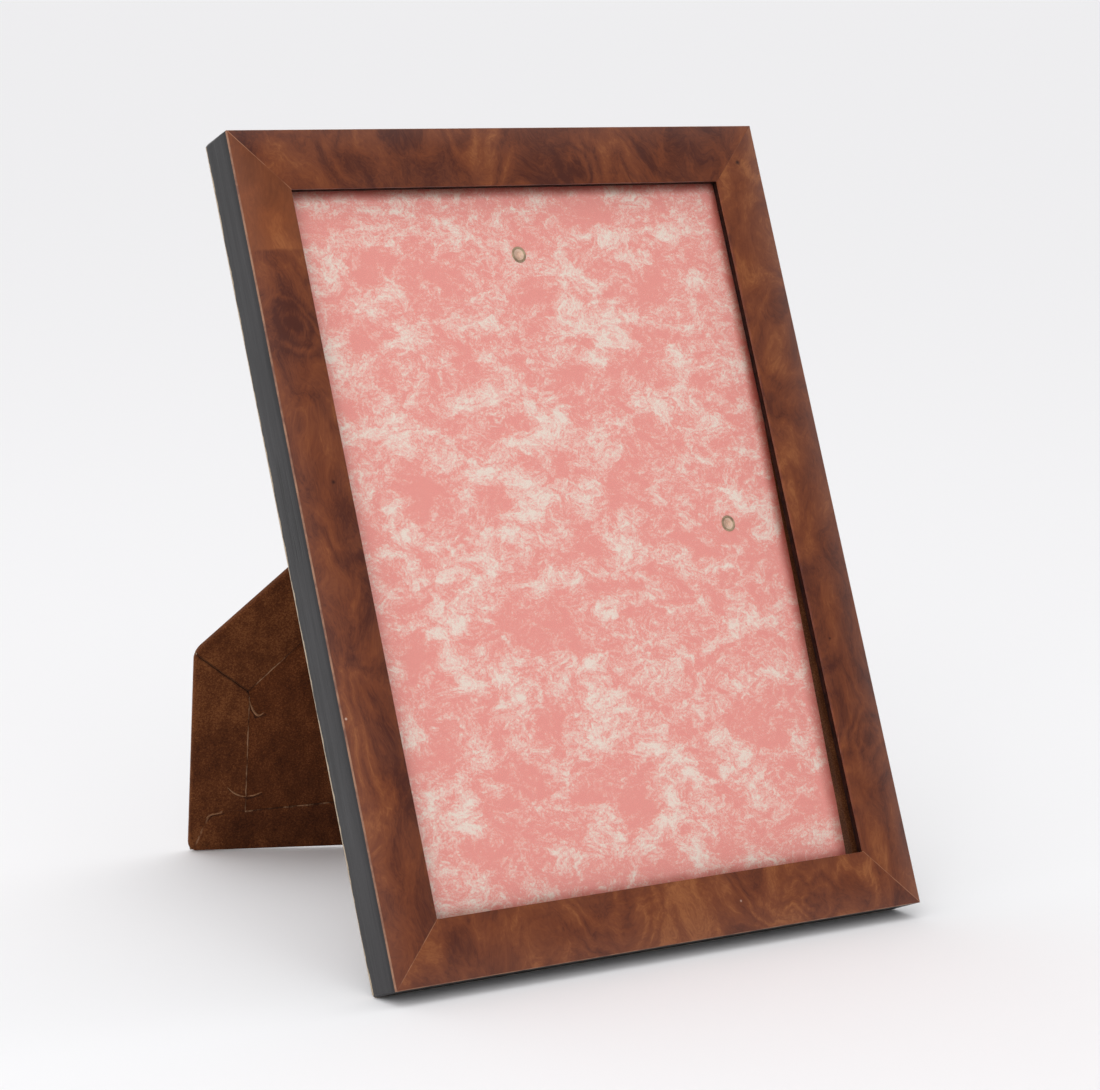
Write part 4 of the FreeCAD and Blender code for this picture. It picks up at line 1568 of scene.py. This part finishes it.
@dataclass
class Back:
    """The velvet-covered back with its marbled paper and the two rivets through it."""

    rebate: tuple[float, float, float, float] = (-90.7, 90.7, 14.3, 255.7)
    gap: float = 0.3
    paper_front: float = -8.5
    paper: float = 0.3
    turn_in: float = 0.6
    turn_in_width: float = 15.0
    velvet_front: float = -8.2
    velvet_back: float = -0.4
    board: float = 6.4
    paper_inset: float = 3.1
    paper_right: Point = (9.0, 0.7)
    rivets: tuple[Point, ...] = ((0.0, 228.3), (62.4, 133.7))
    rivet_radius: float = 1.5
    rivet_back: float = 0.2
    cup_radius: float = 1.95
    sight_inset: float = 5.2

    def rectangle(self, inset: float) -> list[Point]:
        """The rebate's rectangle, smaller all round.

        Args:
            inset: how much smaller.

        Returns:
            Its corners, anticlockwise from the bottom left.
        """
        left, right, bottom, top = self.rebate
        return [(left + inset, bottom + inset), (right - inset, bottom + inset),
                (right - inset, top - inset), (left + inset, top - inset)]

    def make_cover(self) -> bpy.types.Object:
        """Velvet round the board: a slab with soft edges, hollowed for it, open at the front.

        Returns:
            The cover, in the frame's own axes.
        """
        piece = Bench.plate("velvet_back", self.rectangle(self.gap), self.velvet_front,
                            self.velvet_back)
        Bench.bevel(piece, lambda a, b: abs(a.y - b.y) < NEAR, 0.55, 4)
        Bench.cut(piece, Bench.plate("window", self.rectangle(self.gap + self.turn_in_width),
                                     self.velvet_front - 1, self.velvet_front + self.turn_in + 0.05))
        board_front = self.velvet_front + self.turn_in
        Bench.cut(piece, Bench.plate("board_space", self.rectangle(self.gap + self.turn_in),
                                     board_front, board_front + self.board))
        return self.drill(piece)

    def drill(self, piece: bpy.types.Object) -> bpy.types.Object:
        """Drill both rivet holes through a piece.

        Args:
            piece: the piece to drill.

        Returns:
            The same piece.
        """
        for centre in self.rivets:
            Bench.cut(piece, Bench.drum("rivet_hole", centre, self.rivet_radius, -12, 4))
        return piece

    def make_paper(self) -> bpy.types.Object:
        """A sheet with slightly wavy edges, cut a little out of square.

        Returns:
            The sheet, in the frame's own axes.
        """
        left, right, bottom, top = self.rebate
        inset = self.paper_inset
        low, high = self.paper_right
        corners = [(left + inset, bottom + inset), (right - low, bottom + inset),
                   (right - high, top - inset), (left + inset, top - inset)]
        piece = Bench.outline("marbled_sheet", corners, self.paper_front + self.paper)
        with Bench.editing(piece, "FACE"):
            bpy.ops.mesh.select_all(action="SELECT")
            bpy.ops.mesh.subdivide(number_cuts=47)
        waves = bpy.data.textures.new("paper_waves", "CLOUDS")
        waves.noise_scale = 34 * MM
        Bench.modify(piece, "DISPLACE", texture=waves, direction="X", strength=0.9 * MM,
                     mid_level=0.5, texture_coords="LOCAL")
        waves.noise_scale = 26 * MM
        Bench.modify(piece, "DISPLACE", texture=waves, direction="Z", strength=0.6 * MM,
                     mid_level=0.5, texture_coords="LOCAL")
        Bench.thicken(piece, -self.paper)
        return self.drill(piece)

    def make_rivet(self, name: str, centre: Point) -> bpy.types.Object:
        """A rivet turned from its profile, with a rolled rim round a cup and a head at the back.

        Args:
            name: the rivet's name.
            centre: its X and Z.

        Returns:
            The rivet, in the frame's own axes. Its cup uses the second material and its head the
            third.
        """
        front, back = self.paper_front, self.rivet_back
        across, up = centre
        curl = [(0.0, -0.7), (0.6, -0.66), (0.95, -0.45), (1.05, -0.1), (1.3, 0.05), (1.9, 0.09),
                (2.1, 0.14), (2.2, 0.27), (2.38, 0.35), (2.6, 0.28), (2.74, 0.12), (2.75, 0.0),
                (self.rivet_radius, 0.0)]
        head = [(self.rivet_radius, 0.0), (2.3, 0.0), (2.24, 0.18), (2.0, 0.3), (0.0, 0.34)]
        profile = [(across + r, front - y) for r, y in curl]
        profile += [(across + r, back + y) for r, y in head]
        piece = Bench.outline(name, profile, up)
        swap = Matrix(((1, 0, 0, 0), (0, 0, 1, 0), (0, 1, 0, 0), (0, 0, 0, 1)))
        Bench.settle(piece, swap)
        with Bench.editing(piece, "EDGE"):
            bpy.ops.mesh.select_all(action="SELECT")
            bpy.ops.mesh.delete(type="ONLY_FACE")
            Bench.pick_edges(piece, lambda a, b: max(a.x, b.x) < across + NEAR)
            bpy.ops.mesh.delete(type="EDGE")
            bpy.ops.mesh.select_all(action="SELECT")
            bpy.ops.mesh.spin(steps=40, angle=math.tau, axis=(0, 1, 0),
                              center=(centre[0] * MM, 0, centre[1] * MM))
            bpy.ops.mesh.select_all(action="SELECT")
            bpy.ops.mesh.remove_doubles(threshold=0.001 * MM)
            bpy.ops.mesh.normals_make_consistent(inside=False)
        Bench.other_finish(piece, lambda middle, _: middle.y < front / 2
                           and math.hypot(middle.x - across, middle.z - up) < self.cup_radius)
        Bench.other_finish(piece, lambda middle, _: middle.y > back - 0.1, 2)
        return piece

    def build(self, stance: Stance, effects: SharedEffects, brass: bpy.types.Material) -> None:
        """Make the cover, the paper and the rivets, and dress them.

        Args:
            stance: how the frame stands.
            effects: the shared groups.
            brass: the polished brass.
        """
        velvet = Velvet("Velvet, back").make(stance.frame(), effects)
        hand_over(self.make_cover(), stance.frame(), "frame", [velvet], ["back_cover"])
        _, right, bottom, top = self.rebate
        inset = self.sight_inset
        paper = MarbledPaper().make(stance, effects, (0, (bottom + top) / 2),
                                    (right - inset, (top - bottom) / 2 - inset))
        hand_over(self.make_paper(), stance.frame(), "frame", [paper], ["back_lining"])
        patina = Metal("Brass under patina", linear(182, 158, 128), linear(136, 112, 88), 0.45,
                       0.3).make(stance, effects)
        cup = Metal("Pale rivet cup", linear(236, 200, 178), linear(198, 156, 134), 0.5,
                    0.15).make(stance, effects)
        for name, centre in zip(("top", "side"), self.rivets):
            hand_over(self.make_rivet("tubular_rivet_" + name, centre), stance.frame(), "frame",
                      [patina, cup, brass], ["hanging_rivet_" + name])


@dataclass
class Strut:
    """The folding strut: velvet turned in over its edges, with seams and small puckers."""

    tip: Point = (-96.0, 9.0)
    side: Point = (-96.0, 87.0)
    head_left: Point = (25.55, 208.58)
    head_right: Point = (42.2, 197.47)
    foot: Point = (-30.0, 9.0)
    inner: float = 0.8
    outer: float = 4.5
    panel: float = 0.3
    seam_width: float = 0.55

    def outline(self) -> list[Point]:
        """The strut's corners, anticlockwise from its square corner."""
        return [self.tip, self.foot, self.head_right, self.head_left, self.side]

    def window(self) -> list[Point]:
        """The corners of the lower panel between the turned-in flaps."""
        return [(-76.5, 24.7), (-45.2, 27.2), (6.0, 159.0), (-77.1, 72.0), (-76.6, 69.9)]

    def mitres(self) -> list[tuple[Point, Point]]:
        """Where neighbouring flaps meet, from the window's corners outwards.

        Returns:
            The two ends of each seam.
        """
        return [((-77.0, 71.8), (-96.4, 87.6)), ((-76.4, 24.6), (-84.9, 24.8)),
                ((-84.8, 24.9), (-89.1, 23.2)), ((-89.2, 23.6), (-94.7, 8.4)),
                ((-45.4, 27.4), (-29.6, 8.6)), ((5.8, 158.8), (36.9, 201.6))]

    def blade(self, name: str, start: Point, end: Point) -> bpy.types.Object:
        """A thin wedge that cuts a V-shaped seam between two points of the inner face.

        Args:
            name: the object's name.
            start: one end of the seam.
            end: its other end.

        Returns:
            The wedge.
        """
        run = Vector((end[0] - start[0], end[1] - start[1])).normalized()
        across = Vector((-run.y, run.x)) * self.seam_width / 2
        corners = [(p[0] + s * across.x, p[1] + s * across.y)
                   for p, s in ((start, -1), (end, -1), (end, 1), (start, 1))]
        piece = Bench.plate(name, corners, self.inner - 0.3, self.inner + 0.5)
        for sign, corner in ((-1, start), (1, start)):
            side = across * sign
            Bench.trim(piece, (corner[0] + side.x, self.inner, corner[1] + side.y),
                       (across.x * sign * 4, 1.0, across.y * sign * 4))
        return piece

    def make_cover(self) -> bpy.types.Object:
        """The covered board with soft rims, a sunk panel and seams cut between the flaps.

        Returns:
            The cover, as it lies when folded.
        """
        corners = self.outline()
        rounded = {self.tip: 3.0, self.side: 3.0, self.foot: 3.0, self.head_left: 1.5,
                   self.head_right: 1.5}
        piece = Bench.plate("strut_velvet", corners, self.inner, self.outer, rounded)
        Bench.bevel(piece, lambda a, b: abs(a.y - b.y) < NEAR, 1.15, 5)
        Bench.cut(piece, Bench.plate("panel_space", self.window(), self.inner - 1,
                                     self.inner + self.panel))
        for number, (start, end) in enumerate(self.mitres()):
            Bench.cut(piece, self.blade(f"seam_{number}", start, end))
        Bench.soften(piece, 0.09, 2, 60.0)
        return piece

    def make_panel(self) -> bpy.types.Object:
        """The velvet between the flaps, a little lower, with soft edges.

        Returns:
            The panel, as it lies when folded.
        """
        top = self.inner + self.panel
        piece = Bench.plate("strut_panel", self.window(), top - 0.05, top + 0.25)
        Bench.bevel(piece, lambda a, b: max(a.y, b.y) < top, 0.12, 2)
        return piece

    def make_puckers(self) -> list[bpy.types.Object]:
        """Small folds where the velvet was pulled in.

        Returns:
            A ridge for each fold.
        """
        face = self.inner + 0.02
        low = self.inner + self.panel
        runs = [
            ("pucker_nick", [(-76.6, low, 68.4), (-75.9, low - 0.1, 65.6), (-74.3, low - 0.2, 63.0),
                             (-72.9, low - 0.2, 62.2), (-71.4, low, 63.6)], 0.42),
            ("pucker_smile_left", [(-83.2, face, 34.4), (-81.0, face, 32.0), (-78.2, face, 30.7),
                                   (-76.7, face, 30.5)], 0.34),
            ("pucker_smile_right", [(-76.3, low, 30.5), (-74.0, low, 30.7), (-71.0, low, 32.0)], 0.3),
            ("pucker_corner", [(-90.3, face, 22.2), (-88.9, face, 23.9), (-86.5, face, 24.0),
                               (-84.6, face, 24.4)], 0.34),
        ]
        return [Bench.welt(name, points, radius) for name, points, radius in runs]

    def build(self, stance: Stance, effects: SharedEffects) -> None:
        """Make the cover, the panel and the puckers, and dress them.

        Args:
            stance: how the frame stands.
            effects: the shared groups.
        """
        rims = tuple((self.window()[i - 1], self.window()[i], 0.42) for i in range(5))
        rims += tuple((a, b, 0.5) for a, b in self.mitres()[2:4])
        # Painted shadow: dark lines along the outer seams, the panel's edges and beside the puckers.
        crease_shadows = tuple((a, b, 0.8) for a, b in self.mitres()[:1] + self.mitres()[4:])
        crease_shadows += tuple((a, b, 0.6) for a, b, _ in rims[:5])
        folds = tuple(((x + 0.5, z - 0.55), (u + 0.5, w - 0.55), 0.5) for (x, z), (u, w) in (
            ((-83.2, 34.4), (-80.6, 31.8)), ((-80.6, 31.8), (-76.8, 30.5)),
            ((-90.0, 22.2), (-88.6, 23.8)), ((-88.6, 23.8), (-84.6, 24.4))))
        velvet = Velvet("Velvet, strut", frays=rims, crease_shadows=crease_shadows + folds, foot_shade=0.07)
        # The panel gets painted shadow beside the nick and the smile-shaped pucker.
        lower = Velvet("Velvet, strut panel", dark=linear(50, 20, 5), mid=linear(78, 38, 14),
                       light=linear(112, 64, 34), crease_shadows=(
                           ((-76.6, 66.6), (-74.2, 61.6), 0.7), ((-74.2, 61.6), (-71.0, 62.6), 0.6),
                           ((-76.3, 29.6), (-71.0, 31.2), 0.6)))
        # Painted highlight: the puckers get a paler copy of the velvet.
        pucker_highlight = Velvet("Velvet, painted pucker highlight", dark=linear(96, 60, 38), mid=linear(128, 90, 62),
                        light=linear(160, 122, 92)).make(stance.strut(), effects)
        hand_over(self.make_cover(), stance.strut(), "strut",
                  [velvet.make(stance.strut(), effects)], ["strut_cover"])
        hand_over(self.make_panel(), stance.strut(), "strut",
                  [lower.make(stance.strut(), effects)], ["strut_lining"])
        hand_over(Bench.join(self.make_puckers(), "strut_puckers"), stance.strut(), "strut",
                  [pucker_highlight])


@dataclass
class Fittings:
    """Turn buttons and their screws."""

    thickness: float = 0.9
    lift: float = 0.05
    big: float = 4.0
    small: float = 3.0
    reach: float = 13.5
    shank: float = 1.1
    head: float = 2.6
    head_height: float = 1.3
    slot_width: float = 0.55
    places: dict[str, Triple] = field(default_factory=lambda: {
        "top_left": (-55.0, 262.8, 90.0), "top_right": (55.0, 262.8, 90.0),
        "left": (-97.8, 178.0, 0.0), "right_upper": (97.8, 205.0, 180.0),
        "right_lower": (97.8, 62.0, 180.0), "bottom": (*BOTTOM_SCREW, -90.0)})

    def make_button(self) -> bpy.types.Object:
        """A flat pressed button with round ends, along X from its screw.

        Returns:
            The button, with its screw hole on the Y axis.
        """
        lean = math.acos((self.big - self.small) / self.reach)
        corners = []
        for step in range(13):
            angle = -lean + 2 * lean * step / 12
            corners.append((self.reach + self.small * math.cos(angle), self.small * math.sin(angle)))
        for step in range(17):
            angle = lean + (math.tau - 2 * lean) * step / 16
            corners.append((self.big * math.cos(angle), self.big * math.sin(angle)))
        top = self.lift + self.thickness
        piece = Bench.plate("turn_button", corners, self.lift, top)
        Bench.bevel(piece, lambda a, b: min(a.y, b.y) > top - NEAR, 0.22, 3)
        Bench.cut(piece, Bench.drum("screw_hole", (0, 0), self.shank + self.lift, -1, 3, 24))
        return piece

    def make_screw(self) -> bpy.types.Object:
        """A round head with a slot, on a short shank.

        Returns:
            The screw, along the Y axis.
        """
        seat = self.thickness + 2 * self.lift
        top = seat + self.head_height
        head = Bench.drum("screw", (0, 0), self.head, seat, top)
        Bench.bevel(head, lambda a, b: min(a.y, b.y) > top - NEAR, 0.85, 6)
        Bench.cut(head, Bench.block("slot", (-4, top - 0.6, -self.slot_width / 2),
                                    (4, top + 1, self.slot_width / 2)))
        shank = Bench.drum("shank", (0, 0), self.shank, -9.0, seat + 0.1, 24)
        return Bench.join([head, shank])

    def build(self, stance: Stance, brass: bpy.types.Material) -> None:
        """Make one button and one screw, and copy them to their six places.

        Args:
            stance: how the frame stands.
            brass: the polished brass.
        """
        button, screw = self.make_button(), self.make_screw()
        screws = []
        for number, (name, (x, z, turn)) in enumerate(self.places.items()):
            copy = Bench.copy(button, "pressed_button_" + name, turned(x, z, turn))
            hand_over(copy, stance.frame(), "button_" + name, [brass],
                      ["turn_button_" + name])
            screws.append(Bench.copy(screw, f"button_screw_{number}",
                                     turned(x, z, turn + 27.0 + 61.0 * number)))
        hand_over(Bench.join(screws, "button_screws"), stance.frame(), "frame", [brass],
                  ["turn_button_screws"])
        for used in (button, screw):
            bpy.data.objects.remove(used)


# ------------------------------------------------------------------------------ the studio


@dataclass
class Studio:
    """A pale floor, soft light all round, and the camera."""

    camera_from_corner: Triple = (-0.631526, -0.920099, 0.313584)
    forward: Triple = (0.595015, 0.788776, -0.154235)
    upward: Triple = (0.071561, 0.139146, 0.987683)
    lens: float = 125.13
    floor: float = 30.0
    floor_colour: Colour = (0.895, 0.895, 0.905)
    sky: Colour = (1.085, 1.08, 1.085)
    dim_sky: Colour = (0.12, 0.12, 0.12)
    towards_dim: Triple = (0.60, -0.67, 0.44)
    lamps: tuple[tuple[str, Triple, float, float], ...] = (
        ("soft_box_above", (-0.3, 0.1, 1.6), 1.2, 1.2),
        ("soft_box_left", (-1.5, -1.5, 1.1), 1.0, 11.0))
    lit_point: Triple = (0, 0, 0.12)

    def build(self, stance: Stance) -> None:
        """Set up floor, light and camera.

        Args:
            stance: how the frame stands.
        """
        self.lay_floor()
        self.light()
        self.place_camera(stance)

    def lay_floor(self) -> None:
        """A very large pale floor."""
        Bench.clear()
        bpy.ops.mesh.primitive_plane_add(size=2 * self.floor, location=(0, 0, 0))
        floor = bpy.context.object
        floor.name = "floor"
        material = bpy.data.materials.new("Pale floor")
        material.use_nodes = True
        shader = material.node_tree.nodes["Principled BSDF"]
        shader.inputs["Base Color"].default_value = (*self.floor_colour, 1.0)
        shader.inputs["Roughness"].default_value = 0.9
        shader.inputs["Specular IOR Level"].default_value = 0.0
        floor.data.materials.append(material)

    def light(self) -> None:
        """White light from all round, less of it from the front right, and a soft box above."""
        world = bpy.data.worlds.new("Studio")
        bpy.context.scene.world = world
        world.use_nodes = True
        wires = Wiring(world.node_tree)
        background = world.node_tree.nodes["Background"]
        coordinates = wires.node("ShaderNodeTexCoord")
        facing = wires.vector("DOT_PRODUCT", coordinates.outputs["Generated"],
                              Vector(self.towards_dim).normalized())
        dim = wires.smooth(facing, 0.74, 0.93)
        wires.feed(background.inputs["Color"], wires.mix(dim, self.sky, self.dim_sky))
        background.inputs["Strength"].default_value = 1.0
        for name, place, size, power in self.lamps:
            Bench.clear()
            bpy.ops.object.light_add(type="AREA", location=place)
            lamp = bpy.context.object
            lamp.name = name
            lamp.data.size = size
            lamp.data.energy = power
            aim = Vector(self.lit_point) - Vector(place)
            lamp.rotation_euler = aim.to_track_quat("-Z", "Y").to_euler()

    def place_camera(self, stance: Stance) -> None:
        """The camera looks down a little from the front left.

        Args:
            stance: how the frame stands.
        """
        corner = stance.frame() @ Vector((-Moulding.width / 2 * MM, 0, 0))
        back = -Vector(self.forward).normalized()
        up = Vector(self.upward).normalized()
        right = up.cross(back)
        turn = Matrix((right, up, back)).transposed().to_4x4()
        data = bpy.data.cameras.new("camera")
        data.lens = self.lens
        data.sensor_width = 36.0
        data.clip_end = 100.0
        camera = bpy.data.objects.new("camera", data)
        bpy.context.scene.collection.objects.link(camera)
        camera.matrix_world = Matrix.Translation(corner + Vector(self.camera_from_corner)) @ turn
        bpy.context.scene.camera = camera
        bpy.context.scene.view_settings.view_transform = "Standard"


def dress_nodes(nodes: dict[str, bpy.types.Object],
                materials: dict[Slot, bpy.types.Material], names: dict[str, Slot]) -> None:
    """Give loaded nodes that stay their materials.

    Args:
        nodes: the loaded nodes by name.
        materials: a material for each slot.
        names: the slot of each node that stays.
    """
    for name, slot in names.items():
        node = nodes[name]
        node.data.materials.clear()
        node.data.materials.append(materials[slot])
        log.info("%s keeps its shape, in %s", name, slot.value)


def main() -> None:
    """Build the looks around the loaded frame."""
    logging.basicConfig(level=logging.INFO, format="%(message)s")
    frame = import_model()
    Bench.clear()
    stance = Stance.from_joints(frame["joints"])
    effects = SharedEffects()
    brass = Metal("Brass", linear(214, 176, 104), linear(150, 112, 62)).make(stance, effects)
    steel = Metal("Steel", linear(176, 174, 170), linear(110, 106, 100)).make(stance, effects)
    Moulding().build(stance, effects)
    Back().build(stance, effects, brass)
    Strut().build(stance, effects)
    Fittings().build(stance, brass)
    materials = {Slot.BRASS: brass, Slot.STEEL: steel,
                 Slot.GLASS: PaneGlass().make(stance), Slot.BOARD: GreyBoard().make(stance)}
    kept = {"glass_pane": Slot.GLASS, "back_board": Slot.BOARD, "strut_board": Slot.BOARD,
            "corner_v_nails": Slot.STEEL, "hinge_pin": Slot.STEEL}
    for name in ("hinge_leaf_fixed", "hinge_leaf_moving", "hinge_rivets_back",
                 "hinge_rivets_strut", "hanging_tab_top", "hanging_tab_side",
                 "hanging_ring_top", "hanging_ring_side"):
        kept[name] = Slot.BRASS
    dress_nodes(frame["nodes"], materials, kept)
    Studio().build(stance)


if __name__ == "__main__":
    main()
